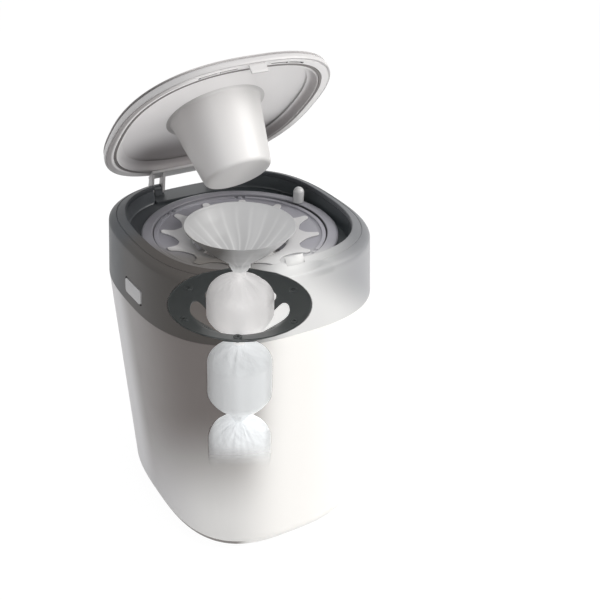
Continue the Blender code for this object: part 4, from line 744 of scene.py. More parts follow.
# The far left of the well is painted paler, as painted light.
SLATE_LEFT_LIT = (0.085, 0.092, 0.10)
SLATE_HAZE = (0.62, 0.62, 0.615)
DECK_CUT = 334.3 * MM
well = eased(
    [
        (18.2, 350.0, 0, 0.3), (20.6, 335.8, 0, 1.4), (21.9, 334.0, 0, 0.6), (103, 334.0, 1, 0),
        (103, 331.5, 1, 0), (18.1, 331.5, 0, 0), (16.0, 345.4, 0, 0), (13.4, 347.7, 0, 0),
        (13.4, 351.2, 0, 0.3), (15.7, 351.2, 0, 0.3), (15.7, 350.0, 0, 0),
    ]
)
well_frame = skin("well_wall", collar_rings(well), loop=True)
seats = []
for side in (-1, 1):
    near, far = sorted((side * 110.2, side * 112.6))
    seats.append(block(f"spring_seat_{side}", (near, -24, 296), (far, -8, 332.5)))
carve(well_frame, seats, "UNION")
carve(well_frame, [catch_cut()])
spots = np.zeros(3 * len(well_frame.data.vertices))
well_frame.data.vertices.foreach_get("co", spots)
spots = spots.reshape(-1, 3)
x, y, z = spots.T
reach = notch_reach(x, y)
z = np.where(reach < 1, np.minimum(z, notch_floor(reach) - 2.2 * MM), z)
behind = (np.abs(x) < HINGE_HALF * MM) & (y > HINGE_FRONT * MM)
spots[:, 2] = np.where(behind, np.minimum(z, DECK_CUT), z)
well_frame.data.vertices.foreach_set("co", spots.reshape(-1))
well_frame.data.update()


def slate_finish(name):
    """The dark slate plastic, a little paler at the far left in painted light."""
    made = moulded(name, SLATE, 0.36, grain=0.03, flow=0.04)
    made.tone = sighted(made)[0].over(-110, -60).blend(SLATE_LEFT_LIT, made.tone)
    return made


well_look = slate_finish("well_slate")
# Painted shade and a painted white haze on the well's front.
well_tone, _ = shaded_front(well_look, well_look.tone, COLLAR_SHADE, SLATE_HAZE)
well_look.set(Base_Color=well_tone, Alpha=wiped(well_look))
finished(well_frame, "head", "slate", well_look, stands_for=["well_frame"])


# Hinge housing and pins: a dark insert that closes the gap in the rear rim, with two lugs
# that carry the steel pins of the lid. The springs are steel too, and so are the ring's screws.
housing_look = slate_finish("housing_slate")
height = housing_look.axes()[2].over(343, 349)
housing_look.set(Base_Color=height.blend((0.058, 0.064, 0.069), (0.075, 0.081, 0.087)))
painted(housing_look, "hinge_housing")


def steel_finish(name):
    made = Finish(name)
    lines = made.noise(900.0, 2.0)
    made.set(Base_Color=lines.blend((0.50, 0.50, 0.51), (0.66, 0.66, 0.68)), Metallic=1.0)
    made.set(Roughness=0.22 + lines * 0.14, Normal=made.bump(lines, 0.01 * MM))
    return made


steel = steel_finish("turned_steel")
painted(steel, "hinge_pin_1", "hinge_pin_2", "button_spring_left", "button_spring_right")

# Screws: they aren't drawn above the brim, as the tray's posts round them aren't in front of
# the column either.
BEHIND_ALL = -90 * MM
SCREW_HIDDEN = 247 * MM
screw_steel = steel_finish("screw_steel")
height = screw_steel.axes()[2].between(SCREW_HIDDEN - 1 * MM, SCREW_HIDDEN)
screw_steel.set(Alpha=wiped(screw_steel, BEHIND_ALL).most(1 - height))
painted(screw_steel, *(f"ring_screw_{number}" for number in range(1, 7)))


# Cassette tray: a pale pan under the deck that holds the cassette, with six tubular posts
# that reach down to the finger ring, and a window for the click pawl.
POST_CIRCLE = 71 * MM
POST_TURNS = np.radians(np.arange(6) * 60)
POST_CENTRES = [
    (POST_CIRCLE * math.cos(turn), AXIS_Y + POST_CIRCLE * math.sin(turn)) for turn in POST_TURNS
]
tray_profile = eased(
    [
        (108.5, 331.2, 0.4), (99.5, 331.2, 0.6), (99.5, 293.2, 1.2), (56.5, 293.2, 0.5),
        (56.5, 290.8, 0.5), (101.5, 290.8, 2.0), (101.5, 329, 0.8), (108.5, 329, 0.4),
    ]
)
tray = skin("tray_pan", round_ring(tray_profile, 180), loop=True)
joined, bored = [], []
for number, centre in enumerate(POST_CENTRES):
    joined.append(rod(f"tray_post_{number}", 4, 247.9, 292, 28, centre))
    bored.append(rod(f"tray_bore_{number}", 1.8, 240, 259.3, 18, centre))
bored.append(block("pawl_window", (-1.6, 90, 313.3), (8, 98, 322.3)))
carve(tray, joined, "UNION")
carve(tray, bored)
tray_look = moulded("tray_plastic", (0.62, 0.60, 0.58), 0.45)
tray_look.set(Alpha=wiped(tray_look, BEHIND_ALL))
finished(tray, "head", "tub_white", tray_look, stands_for=["cassette_tray"])
painted(moulded("pawl_acetal", (0.80, 0.79, 0.77), 0.35), "click_pawl")


# Finger ring: a dark slate cone in tough nylon. Its broad brim is screwed to the posts, and
# its inner part is slotted into six springy fingers that grip the parcel.
BRIM_RADIUS = 82.6 * MM
BRIM_HEIGHT = 249 * MM
BRIM_DROP = 7.5 * MM
BRIM_LIP = 1.2 * MM
FINGER_ROOT = 57 * MM
FINGER_TIP = 21 * MM


def brim_line(radius):
    """The shallow brim outside the finger roots."""
    return BRIM_HEIGHT - BRIM_DROP * (BRIM_RADIUS - radius) / (BRIM_RADIUS - FINGER_ROOT)


ring_profile = eased(
    [
        (BRIM_RADIUS, BRIM_HEIGHT + 0.2 * MM, 0.5 * MM),
        (BRIM_RADIUS - BRIM_LIP, BRIM_HEIGHT + BRIM_LIP, 0.5 * MM),
        (BRIM_RADIUS - 2 * BRIM_LIP, brim_line(BRIM_RADIUS - 2 * BRIM_LIP), 0.5 * MM),
        (FINGER_ROOT, BRIM_HEIGHT - BRIM_DROP, 5 * MM),
        (FINGER_TIP, 209.5 * MM, 0.4 * MM),
        (FINGER_TIP - BRIM_LIP, 207.5 * MM, 0.4 * MM),
        (FINGER_ROOT - BRIM_LIP, 239.5 * MM, 5 * MM),
        (BRIM_RADIUS, BRIM_HEIGHT - 2 * MM, 0.6 * MM),
    ],
    unit=1,
)
finger_ring = skin("finger_cone", round_ring(dense(ring_profile, 4 * MM), 192), loop=True)


def slot_outline(turn):
    """A slot: its sides run beside fingers that widen from 5 to 13 mm, and its outer end is a
    flattened half circle."""
    shoulder = FINGER_ROOT * 0.86
    radius = np.linspace(FINGER_TIP * 0.8, shoulder, 10)
    width = 5 * MM + 8 * MM * (radius - FINGER_TIP) / (FINGER_ROOT - FINGER_TIP)
    angle = math.pi / 6 - np.arcsin(width / 2 / radius)
    share = np.cos(np.linspace(0.25, np.pi / 2, 12))
    end_radius = shoulder + (FINGER_ROOT - shoulder) * np.sqrt(1 - share**4)
    radius = np.concatenate([radius, end_radius])
    angle = np.concatenate([angle, angle[-1] * share])
    radius = np.concatenate([radius, radius[-2::-1]])
    angle = np.concatenate([angle, -angle[-2::-1]]) + turn
    return upright(radius[None, :], angle, 0.2)


slots = []
for number in range(6):
    low = slot_outline(math.radians(30 + 60 * number))
    slots.append(skin(f"finger_slot_{number}", np.concatenate([low, low + np.array([0, 0, 0.05])])))
carve(finger_ring, slots)
pads, holes = [], []
PAD_ROWS = np.array([(5, 243.6), (5, 247.1), (4.6, 247.4)]) * MM
for number, centre in enumerate(POST_CENTRES):
    pads.append(skin(f"pad_{number}", round_ring(PAD_ROWS, 28, centre)))
    holes.append(rod(f"screw_hole_{number}", 1.8, 235, 252, 16, centre))
carve(finger_ring, pads, "UNION")
carve(finger_ring, holes)


def ring_finish():
    """Slate nylon with a faint sheen. It is darker towards the fingers in painted shade, and
    has a faint painted glow that is strongest on the brim.
    """
    made = moulded("ring_nylon", (0.066, 0.071, 0.071), 0.34, grain=0.04, flow=0.06)
    deep = made.axes()[2].over(245, 212)
    made.set(Base_Color=deep.blend(made.tone, (0.035, 0.038, 0.04)))
    made.glow(deep.blend((0.030, 0.033, 0.033), (0.012, 0.013, 0.013)))
    return made


finished(finger_ring, "head", "slate", ring_finish(), stands_for=["finger_ring"])


# Twist ring and post: the lavender grey ring that the hand turns, with a sleeve below it, a
# ratchet band round the sleeve, and a white round-topped post to push.
LAVENDER = (0.245, 0.242, 0.268)
LAVENDER_SHADE = (0.15, 0.143, 0.138)
LAVENDER_HAZE = (0.66, 0.66, 0.655)
RING_TURNS = 720
TEETH = 36
TOOTH_HEIGHT = 1.6 * MM
ring_rows = eased(
    [
        (107, 334.3, 0.3), (107, 339.4, 1.8), (104.2, 340.5, 1.5), (95.7, 340.5, 0.7),
        (94.4, 339.4, 0.5), (94.4, 299.7, 0.4), (90.4, 299.7, 0.4), (90.4, 297.3, 0.4),
        (96.8, 297.3, 0.5), (96.8, 315.3, 0), (97.0, 315.3, 0), (97.0, 320.3, 0),
        (96.8, 320.3, 0), (96.8, 334.3, 0.3),
    ]
)
twist_points = round_ring(ring_rows, RING_TURNS)
turns = angles(RING_TURNS)
outward = upright(1, turns, 0, (0, 0))
saw = (turns * TEETH / (2 * np.pi)) % 1
tooth = TOOTH_HEIGHT * np.where(saw < 0.15, saw / 0.15, (1 - saw) / 0.85)
banded = (ring_rows[:, 1] < 321 * MM) & (ring_rows[:, 1] > 315 * MM) & (ring_rows[:, 0] > 96.9 * MM)
twist_points[banded] += tooth[:, None] * outward
twist_ring = skin("ring_flange", twist_points, loop=True)


def lavender_finish(name, colour=LAVENDER):
    """Lavender grey plastic, paler to the right in painted light, with a painted shadow line
    in the gap between the ring and the cassette's cover, strongest at the front.
    """
    made = moulded(name, colour, 0.34, grain=0.02, flow=0.03)
    pale = tuple(1.22 * channel for channel in colour)
    # Painted light: paler towards the right.
    tone = sighted(made)[0].over(-10, 90).blend(made.tone, pale)
    x, y, _ = made.axes()
    reach = (x ** 2.0 + (y - AXIS_Y) ** 2.0) ** 0.5
    # Painted shadow in the gap, strongest at the front.
    gap = reach.over(93.2, 93.9) * reach.over(95.4, 94.8)
    tone = (gap * (0.3 + 0.7 * y.over(70, 0))).blend(tone, (0.03, 0.03, 0.033))
    made.set(Base_Color=shaded_front(made, tone, LAVENDER_SHADE, LAVENDER_HAZE)[0], Alpha=wiped(made))
    return made


lavender = lavender_finish("ring_lavender_plastic")
finished(twist_ring, "twist", "ring_lavender", lavender, stands_for=["twist_ring"])

POST_RADIUS = 6.2 * MM
POST_TURN = math.radians(19)
post_centre = (99 * MM * math.cos(POST_TURN), AXIS_Y + 99 * MM * math.sin(POST_TURN))
dome = np.radians(np.linspace(0, 88, 14))
post_low = np.array([(5.9, 340.8), (6.2, 341.1), (6.2, 347)]) * MM
post_dome = np.stack([POST_RADIUS * np.cos(dome), 352.6 * MM + POST_RADIUS * np.sin(dome)], axis=1)
post = skin("push_post", round_ring(np.concatenate([post_low, post_dome]), 48, post_centre))
gloss = moulded("gloss_white_plastic", (0.48, 0.48, 0.485), 0.24, grain=0.008, coat=0.3, flow=0.01)
finished(post, "twist", "gloss_white", gloss, stands_for=["turning_post"])


# Cassette: a lavender channel that drops into the sleeve, the pleated block of film packed
# in it, and a cover whose raised band carries two pairs of small key notches.
shell_rows = eased(
    [
        (93.9, 300, 0.6), (93.9, 333.7, 0.4), (92.4, 333.7, 0.4), (92.4, 301.5, 1),
        (56.5, 301.5, 1), (56.5, 329, 0.4), (55, 329, 0.4), (55, 300, 0.6),
    ]
)
shell = skin("cassette_channel", round_ring(shell_rows, 200), loop=True)
finished(shell, "twist", "ring_lavender", lavender, stands_for=["cassette_shell"])

PACK_TURNS = 600
PACK_MIDDLE = 74 * MM
PLEAT_DEPTH = 0.35 * MM
PLEAT_PITCH = 2.6 * MM
turns = angles(PACK_TURNS)
outward = upright(1, turns, 0, (0, 0))
pack_rows = dense(eased([(88.0, 301.9, 0.6), (88.0, 325.5, 2), (61, 325.5, 2), (61, 301.9, 0.6)]), 1.3 * MM)
pack_points = round_ring(pack_rows, PACK_TURNS)
outer_side = (pack_rows[:, 0] > PACK_MIDDLE)[:, None]
ripple = PLEAT_DEPTH * np.sin(pack_rows[:, 1][:, None] * 2 * np.pi / PLEAT_PITCH + 2 * np.sin(turns * 5))
pack_points += np.where(outer_side, ripple, -ripple)[:, :, None] * outward
pack = skin("packed_film", pack_points, loop=True)


def film_finish(name, colour, roughness):
    """Thin white film, with a soft sheen and fine creases."""
    made = Finish(name)
    crease = made.noise(120.0, 5.0, roughness=0.62)
    fold = made.noise(30.0, 3.0)
    tone = fold.between(0.25, 0.75).blend(tuple(c * 0.93 for c in colour), colour)
    made.set(Base_Color=tone, Roughness=roughness - 0.08 + crease * 0.16, Sheen_Weight=0.15)
    made.set(Normal=made.bump(crease, 0.35 * MM, 0.6))
    return made


pack_look = film_finish("film_pack_film", (0.86, 0.86, 0.865), 0.42)
pack_look.set(Alpha=wiped(pack_look))
finished(pack, "twist", "film_white", pack_look, stands_for=["film_pack"])

BAND_RADIUS = 89.2 * MM
THROAT_RADIUS = 56.8 * MM
NOTCH_SPOTS = [middle + offset for middle in (62, 120, 242, 300) for offset in (-2.6, 2.6)]


def cover_line(radius):
    """The cover dishes by 6 mm from its band to the throat."""
    return 336.15 * MM - 6 * MM * (BAND_RADIUS - radius) / (34.2 * MM)


cover_rows = eased(
    [
        (93.9 * MM, 334.0 * MM, 0.2 * MM), (93.9 * MM, 338.3 * MM, 0.7 * MM),
        (BAND_RADIUS, 338.3 * MM, 0.7 * MM), (BAND_RADIUS, cover_line(BAND_RADIUS), 0.5 * MM),
        (THROAT_RADIUS, cover_line(THROAT_RADIUS), 0.3 * MM),
        (THROAT_RADIUS, cover_line(THROAT_RADIUS) - 1.4 * MM, 0.3 * MM),
        (87.8 * MM, 334.5 * MM, 0.3 * MM), (90.6 * MM, 334.0 * MM, 0),
    ],
    unit=1,
)
cover_rows = dense(cover_rows, 4 * MM)
cover_points = round_ring(cover_rows, RING_TURNS)
apart = np.degrees(angles(RING_TURNS)) - np.array(NOTCH_SPOTS)[:, None]
apart = np.abs((apart + 180) % 360 - 180)
notch = np.clip((1.3 - apart) / 0.25, 0, 1).max(axis=0)
banded = (cover_rows[:, 1] > 336.9 * MM)[:, None] & (cover_rows[:, 0] > 89.0 * MM)[:, None]
cover_points[:, :, 2] -= np.where(banded, notch * 1.6 * MM, 0)
cover = skin("cassette_lid", cover_points, loop=True)
cover_look = lavender_finish("cover_plastic", (0.27, 0.266, 0.296))
finished(cover, "twist", "ring_lavender", cover_look, stands_for=["cassette_cover"])


# Star plate: a thin white moulding with twelve tapering fingers that the film is drawn over,
# dished into a short throat that lines the cassette's own.
STAR_REACH = 86 * MM
STAR_ROOT = 67 * MM
STAR_BEND = 58.6 * MM
STAR_LIFT = 0.3 * MM
STAR_THICK = 1.2 * MM
STAR_TURNS = 1080
THROAT_INSIDE = [(52.4, 317.0), (52.4, 322), (52.4, 327), (52.6, 329.6), (53.3, 331.0), (54.8, 331.75)]
THROAT_OUTSIDE = [(57.1, 330.5), (54.2, 329.4), (53.6, 327.5), (53.6, 322), (53.6, 317.0)]


def star_edge(turns):
    """The plate's outer edge: a finger's half width is 4 mm near its tip and grows as a power
    of the distance inwards, and the gaps between fingers end in a round root."""
    pitch = np.pi / 12
    apart = np.abs((turns / pitch + 1) % 2 - 1) * pitch
    radius = np.linspace(STAR_ROOT - 1 * MM, STAR_REACH, 200)
    inward = (STAR_REACH - radius) / (STAR_REACH - STAR_ROOT)
    half = 4.0 * MM + 8.0 * MM * np.clip(inward, 0, 1) ** 2.1
    past = ((radius - (STAR_REACH - 3.6 * MM)) / (3.6 * MM)).clip(0, 1)
    cap = np.sqrt(np.clip(1 - past**3, 0, 1))
    root = np.clip((radius - STAR_ROOT) / (6 * MM), 0, 1)
    half = half * cap + (radius * pitch - half) * (1 - np.sqrt(1 - (1 - root) ** 2))
    angle = half / radius
    order = np.argsort(angle)
    return np.interp(apart, angle[order], radius[order])


turns = angles(STAR_TURNS)
edge = star_edge(turns)
share = (np.linspace(0, 1, 16) ** 0.9)[:, None]
radius = STAR_BEND + (edge - STAR_BEND) * share
rim_radius = np.array([edge + 0.25 * MM, edge + 0.25 * MM])
star_parts = [
    round_ring(np.array(THROAT_INSIDE) * MM, STAR_TURNS),
    upright(radius, turns, cover_line(radius) + STAR_LIFT + STAR_THICK),
    upright(rim_radius, turns, cover_line(edge) + STAR_LIFT + np.array([[0.85], [0.35]]) * MM),
    upright(radius[::-1], turns, cover_line(radius[::-1]) + STAR_LIFT),
    round_ring(np.array(THROAT_OUTSIDE) * MM, STAR_TURNS),
]
star = skin("star_fingers", np.concatenate(star_parts), loop=True)
star_look = moulded("star_plastic", (0.62, 0.615, 0.62), 0.33, grain=0.01, flow=0.01)
# Painted shade to the left of the column and a painted white haze to its right.
star_tone, _ = shaded_front(star_look, star_look.tone, (0.165, 0.155, 0.145), (0.78, 0.78, 0.775))
star_look.set(Base_Color=star_tone, Alpha=wiped(star_look))
finished(star, "twist", "gloss_white", star_look, stands_for=["star_plate"])


# Film funnel: the tube of film drawn up from the cassette, over the star and down into a
# cone, whose neck is twisted shut above the first nappy. Soft pleats run down its inside.
FUNNEL_RIM = 345.9 * MM
FUNNEL_DEPTH = 54.6 * MM
FUNNEL_RADIUS = 61 * MM
FUNNEL_TURNS = 360
FILM_THICK = 0.25 * MM
PLEATS = 26


def funnel_rows():
    """A cone whose radius falls with depth, slightly hollow near the neck. Pleats are a sum
    of cosines with the share of the depth as their strength, twisted near the neck."""
    down = np.linspace(0, 1, 48)
    height = FUNNEL_RIM - down * FUNNEL_DEPTH
    radius = np.interp(height, *FUNNEL_LINE[::-1].T)
    radius = np.convolve(np.pad(radius, 2, "edge"), np.array([1, 2, 3, 2, 1]) / 9, "valid")
    twist = angles(FUNNEL_TURNS) + 1.9 * np.clip((down - 0.72) / 0.28, 0, 1)[:, None] ** 2
    folds = np.cos(PLEATS * twist) * 0.4 + 0.5 * np.cos(11 * twist + 1.3) + 0.4 * np.cos(7 * twist + 0.4)
    strength = (0.05 + 0.75 * np.clip((down - 0.68) / 0.32, 0, 1) ** 1.3) * MM * np.clip(down / 0.1, 0, 1)
    radius = radius[:, None] + folds * strength[:, None] * 0.62
    radius[:2] = FUNNEL_RADIUS
    return radius, height[:, None]


radius, height = funnel_rows()
outer = upright(radius, angles(FUNNEL_TURNS), height)
inner = upright(np.maximum(radius - FILM_THICK, 0.4 * MM), angles(FUNNEL_TURNS), height)
inner[-3:, :, 2] += 0.4 * MM
funnel = skin("film_cone", np.concatenate([outer[::-1], inner]), sharp=60)


def funnel_finish():
    """White film that lets some light through, drawn as a painted glow that is weaker to the
    left. A few broad pale pleats fan out from the neck as painted light in colour and glow,
    the outside at the front left gets painted shade, and the neck has a strong painted glow."""
    made = film_finish("funnel_film", grey(0.5), 0.4)
    x, y, z = made.axes()
    turn = made.math("ARCTAN2", y - AXIS_Y, x) + made.noise(11.0, 1.0) * 0.5
    bands = made.math("SINE", turn * 19.0)
    wide = made.math("SINE", turn * 8.0 + 0.8)
    streak = (bands * 0.5 + 0.5) ** 6.0 * 0.6 + (wide * 0.5 + 0.5) ** 3.0 * 0.4
    deep = 0.45 + z.over(334, 306) * 0.55
    streak = (streak * z.over(346, 334) * deep).least(1.0)
    neck = z.over(304, 293)
    tone = neck.blend(streak.blend((0.27, 0.27, 0.272), grey(0.36)), grey(0.60))
    left = streak.blend(grey(0.13), grey(0.25))
    right = streak.blend((0.28, 0.28, 0.282), grey(0.38))
    light = x.over(-40, 60).blend(left, right)
    across, _, towards = sighted(made)
    # Painted shade on the outside at the front left.
    outside = towards.over(6, 20) * across.over(4, -26) * (1 - neck)
    made.set(Base_Color=(outside * 0.8).blend(tone, (0.17, 0.162, 0.155)))
    made.glow(neck.blend(outside.blend(light, (0.03, 0.028, 0.026)), grey(0.32)))
    return made


finished(funnel, "twist", "film_white", funnel_finish(), stands_for=["film_funnel"])
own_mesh(funnel)


# Nappy parcels: nappies wrapped in the film, each twisted off from the next. The film is
# pulled into spiral creases at the necks and hangs in soft folds down the sides.
PARCEL_TURNS = 288
PARCEL_ROWS = 170
# Each parcel's tint, and the strength of the painted glow that lights it.
PARCEL_LOOKS = (
    ("top", (0.83, 0.815, 0.81), 1.0),
    ("middle", (0.79, 0.81, 0.825), 1.0),
    ("bottom", (0.80, 0.82, 0.835), 1.28),
)
CREASE_SEED = 40
FOOT_LENGTHS = (36 * MM, 36 * MM, 18 * MM)


def creased_parcel(number):
    """A turned body with creases: near a neck the radius takes ridges |sin(k a)| that lean
    with the twist and die away outwards, and broad low waves cross the sides."""
    chance = np.random.default_rng(CREASE_SEED + number)
    top, bottom = PARCEL_ENDS[number]
    share = (0.5 - 0.5 * np.cos(np.pi * np.linspace(0, 1, PARCEL_ROWS)))[:, None]
    height = top + (bottom - top) * share
    radius = parcel_line(height, number)
    turns = angles(PARCEL_TURNS)
    from_top = (top - height) / (26 * MM)
    from_foot = (height - bottom) / FOOT_LENGTHS[number]
    creases = 0
    for end, lean in ((from_top, 1.0), (from_foot, -1.0)):
        near = np.exp(-((end / 0.72) ** 2)) * (1 - np.exp(-((end / 0.05) ** 2)) * 0.5)
        twist = lean * 1.9 * np.exp(-end * 2.4)
        for count in (9, 13, 17, 23):
            size = chance.uniform(0.4, 1.0) * 9 / count
            phase = chance.uniform(0, 2 * np.pi)
            bite = chance.uniform(0.8, 1.3)
            ridge = 1 - 2 * np.abs(np.sin(0.5 * (count * (turns + twist * bite) + phase)))
            creases = creases + size * ridge * near
    waves = 0
    for count, size in ((2, 0.9), (3, 0.7), (5, 0.5), (8, 0.22), (13, 0.12)):
        phase, slide = chance.uniform(0, 2 * np.pi, 2)
        lean = chance.uniform(-1, 1) * 1.2
        sway = lean * np.sin(2.2 * share * np.pi + slide)
        waves = waves + size * np.cos(count * turns + phase + sway)
    body = np.clip((radius - NECK_RADIUS) / (PARCEL_RADIUS - NECK_RADIUS), 0, 1)
    radius = radius * (1 - 0.018) + creases * MM * (0.35 + 0.65 * body) + waves * 0.42 * MM * body
    radius = np.minimum(radius, PARCEL_RADIUS + 0.5 * MM)
    rise = waves * 0.5 * MM * body * np.sin(np.pi * share)
    return upright(radius, turns, height + rise)


def parcel_finish(name, tint, glow, ends):
    """Film over a white nappy, lit by a painted glow that is weaker to the left. Fine creases run
    along the meridians and gather at both necks, with painted shade in them, and the film is
    greyer in painted shade where it turns away."""
    made = film_finish(name, tint, 0.4)
    across = sighted(made)[0]
    x, y, z = made.axes()
    flat = made.node("ShaderNodeCombineXYZ", sockets={0: x, 1: y - AXIS_Y})
    rise = made.node("ShaderNodeCombineXYZ", sockets={2: z * 5.0})
    spoke = made.vector("ADD", made.vector("NORMALIZE", flat), rise)
    fan = made.noise(7.0, 5.0, place=spoke, roughness=0.65)
    hang = made.noise(70.0, 4.0, place=made.vector("MULTIPLY", made.place, (1.0, 1.0, 0.22)))
    top, bottom = ends
    near = z.between(top - 34 * MM, top - 4 * MM).most(z.between(bottom + 34 * MM, bottom + 6 * MM))
    relief = fan * near + hang * (1 - near) * 0.6
    made.set(Normal=made.bump(relief, 2.2 * MM, 0.75))
    crease = fan.between(0.56, 0.38) * near * 0.42 + hang.between(0.6, 0.3) * 0.1
    side = abs(across).over(40, 28)
    dim, lit, edge = (tuple(k * channel for channel in tint) for k in (0.44 * glow, 0.63 * glow, 0.30))
    light = side.blend(edge, across.over(-40, 4).blend(dim, lit))
    made.glow(crease.blend(light, (0.16, 0.165, 0.17)))
    return made


for number, (name, tint, glow) in enumerate(PARCEL_LOOKS):
    parcel = skin(f"parcel_{name}", creased_parcel(number), sharp=75)
    parcel_look = parcel_finish(f"parcel_film_{name}", tint, glow, PARCEL_ENDS[number])
    finished(parcel, "head", "film_white", parcel_look, stands_for=[f"nappy_parcel_{name}"])


# Lid: a shallow outer dome over a liner. It is drawn shut and then swung open about the
# hinge pins, as far as the CAD model's own opening angle.
HINGE = np.array([131.4, 343.0]) * MM
OPEN_TURN = math.radians(44.4)
LID_UNDER = 356 * MM
LID_POWER = 2.53
LID_HALF_WIDTH = 121.8 * MM
LID_HALF_DEPTH = 125 * MM
LID_COLOUR = (0.84, 0.825, 0.825)
# The dome is the lid's white painted darker, as painted shade against strong light from above.
DOME_COLOUR = (0.55, 0.54, 0.54)


def opened(points):
    """Turns points about the hinge pins, from the shut lid to the open one."""
    back, up = points[..., 1] - HINGE[0], points[..., 2] - HINGE[1]
    y = HINGE[0] + back * math.cos(OPEN_TURN) + up * math.sin(OPEN_TURN)
    z = HINGE[1] - back * math.sin(OPEN_TURN) + up * math.cos(OPEN_TURN)
    return np.stack([points[..., 0], y, z], axis=-1)


def lid_rings(profile, count=320):
    """The lid's rounded plan at each inset and height above its underside."""
    inset, rise = profile[:, 0], profile[:, 1]
    plain = np.where(profile[:, 2] > 0, 0, inset) if profile.shape[1] > 2 else inset
    wide, deep = LID_HALF_WIDTH - plain, LID_HALF_DEPTH - plain
    square = level_ring(wide, deep, LID_POWER, LID_UNDER + rise, 0.0, count)
    return drawn_round(square, profile, LID_UNDER)


dome_share = np.linspace(0, 1, 40)[1:]
dome_inset = 3 * MM + (LID_HALF_WIDTH - 4 * MM) * dome_share**1.25
dome_rise = 7.0 * MM + 17.0 * MM * (1 - (1 - (dome_inset / LID_HALF_WIDTH).clip(0, 1)) ** 2.9)
outer_dome = np.stack([dome_inset, dome_rise], axis=1)
inner_dome = np.stack([dome_inset, dome_rise - 2 * MM], axis=1)[::-1]
outer_edge = eased([(0.5, 0.4, 0.4), (0, 2.6, 1.8), (1.0, 6.2, 1.6), (3.0, 7.4, 0)])
inner_edge = eased([(4.4, 6.2, 0.6), (2.2, 4.4, 1), (2.2, 0.6, 0)])
dome_rows = np.concatenate([inner_dome, inner_edge, outer_edge, outer_dome])
lid_shell = skin("lid_dome", opened(lid_rings(dome_rows)))
lid_look = moulded("lid_plastic", DOME_COLOUR, 0.4, grain=0.015, flow=0.008)
finished(lid_shell, "lid", "lid_white", lid_look, stands_for=["lid_shell"])
painted(lid_look, "lid_catch", "lid_hinge_bracket")

# Liner: the lid's underside, with a channel for the seal, and four slots in its front edge
# drawn as shallow dents.
SLOT_ENDS = ((18.5 * MM, 37.5 * MM), (40 * MM, 58 * MM))
SLOT_DEPTH = 1.5 * MM
liner_rows = eased(
    [
        (2.5, 0, 0, 0.3), (6.0, 0, 0, 0), (6.2, 0, 0, 0), (8.2, 0, 0, 0), (8.4, 0, 0, 0),
        (9.9, 0, 0, 0.5), (9.9, 3, 0, 0.5), (13.1, 3, 0, 0.5), (13.1, 0, 0, 0.5),
        (15.0, 0, 0, 1.2), (17.6, 6.2, 0, 4), (27, 10.2, 0, 5), (46, 10.2, 1, 0),
        (46, 12.2, 1, 0), (27, 12.2, 0, 0), (17.8, 9.6, 0, 0), (13.1, 4.6, 0, 0),
        (8.7, 4.6, 0, 0), (8.3, 2, 0, 0), (2.5, 2, 0, 0),
    ]
)
liner_points = lid_rings(liner_rows, 960)
slotted = np.isin(np.round(liner_rows[:, 0] / MM, 3), (6.2, 8.2)) & (liner_rows[:, 1] == 0)
sideways = np.abs(liner_points[0, :, 0])
dented = sum((sideways > low) & (sideways < high) for low, high in SLOT_ENDS) * (liner_points[0, :, 1] < 0)
liner_points[:, :, 2] += SLOT_DEPTH * slotted[:, None] * dented
liner = skin("lid_underside", opened(liner_points), loop=True)


def shut_place(made):
    """Where a point of the lid lies when the lid is shut: sideways, and back from the middle."""
    x, y, z = made.axes()
    out, up = y - float(HINGE[0]), z - float(HINGE[1])
    return x, out * math.cos(OPEN_TURN) - up * math.sin(OPEN_TURN) + float(HINGE[0])


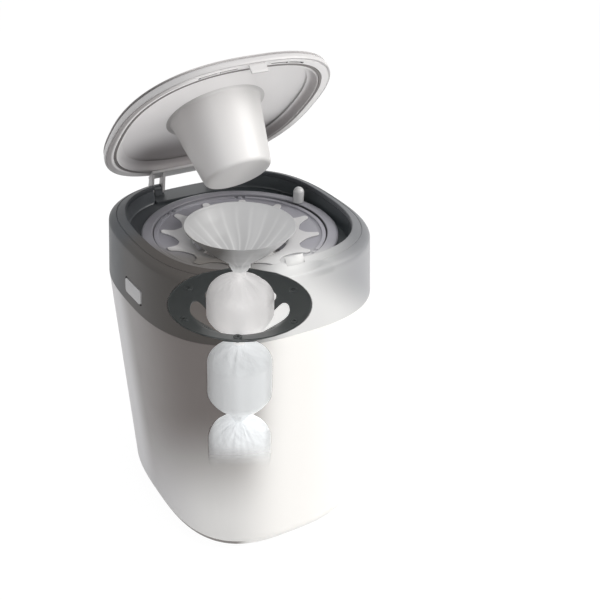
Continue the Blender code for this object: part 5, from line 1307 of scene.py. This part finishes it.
def liner_finish():
    """Warm white, with painted light that grows towards the left. Painted shade darkens the
    seal's channel on its far side, a band further in on the right, the four slots, and the
    liner behind the cup towards the hinge.
    """
    made = moulded("liner_plastic", LID_COLOUR, 0.36, grain=0.008, coat=0.1, flow=0.008)
    x, y = shut_place(made)
    side = abs(x)
    plan = (side / LID_HALF_WIDTH) ** LID_POWER + (abs(y) / LID_HALF_DEPTH) ** LID_POWER
    channel = plan.between(0.83, 0.88) * plan.between(0.99, 0.955) * x.over(-50, -105)
    channel = channel + plan.between(0.60, 0.68) * plan.between(0.80, 0.755) * x.over(62, 92)
    tone = (channel * 0.85).blend(made.tone, (0.36, 0.335, 0.335))
    blur = 0.2 * MM
    slot = sum(side.between(a - blur, a + blur) * side.between(b + blur, b - blur) for a, b in SLOT_ENDS)
    slot = slot * plan.between(0.838, 0.843) * plan.between(0.884, 0.879) * y.over(-60, -70)
    tone = slot.blend(tone, (0.03, 0.029, 0.029))
    # Painted shadow behind the cup, towards the hinge.
    corner = y.over(16, 84) * x.over(-108, -48)
    # Painted light: a glow that grows towards the left.
    glow = x.over(60, -110) * (1 - corner) * (1 - channel).most(0.0) * (1 - slot)
    made.set(Base_Color=(corner * 0.78).blend(tone, (0.20, 0.175, 0.177)))
    made.glow(glow.blend(grey(0.012), (0.14, 0.136, 0.136)))
    return made


finished(liner, "lid", "lid_white", liner_finish(), stands_for=["lid_liner"])

seal_rows = eased([(10.2, -0.15, 0.5), (12.8, -0.15, 0.5), (12.8, 2.7, 0.3), (10.2, 2.7, 0.3)])
seal = skin("soft_seal", opened(lid_rings(seal_rows)), loop=True)
finished(seal, "lid", "seal_grey", moulded("seal_rubber", (0.24, 0.225, 0.22), 0.6), stands_for=["lid_seal"])


# Plunger: a satin white cup blown and trimmed in one piece, which pushes the last nappy
# down as the lid shuts. It has a broad rounded root and a round bottom edge.
cup_inside = eased([(0.6, 293, 0), (36, 293, 5), (46.6, 356.7, 5), (49.4, 365.9, 0)], 8)
cup_outside = eased([(55.4, 366.15, 0), (50.2, 366.1, 6.6), (38.4, 300, 0), (36.8, 291, 7), (0.6, 291, 0)], 9)
cup = dense(np.concatenate([cup_inside, cup_outside]), 4 * MM)
plunger = skin("plunger_cup", opened(round_ring(cup)))


def cup_finish():
    """Satin white, with painted shade: strong on its left side, and milder on its right, where
    the key lamp falls. A faint painted glow lightens its right half.
    """
    made = moulded("cup_plastic", (0.70, 0.69, 0.685), 0.46, grain=0.004, coat=0.12, flow=0.004)
    x = made.axes()[0]
    tone = x.over(-20, -46).blend(made.tone, (0.46, 0.445, 0.44))
    made.set(Base_Color=x.over(-4, 30).blend(tone, (0.50, 0.495, 0.49)))
    made.glow(x.over(-40, 0).blend(grey(0.01), (0.07, 0.068, 0.067)))
    return made


finished(plunger, "lid", "gloss_white", cup_finish(), stands_for=["plunger"])


# Release buttons: two sprung caps in the collar's sides, pressed in together to lift the
# head. Each has a catch arm that hooks under the tub's rim.
button_look = moulded("button_plastic", (0.41, 0.405, 0.41), 0.36, grain=0.02, flow=0.02)
painted(button_look, "button_left", "button_right")


low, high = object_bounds()
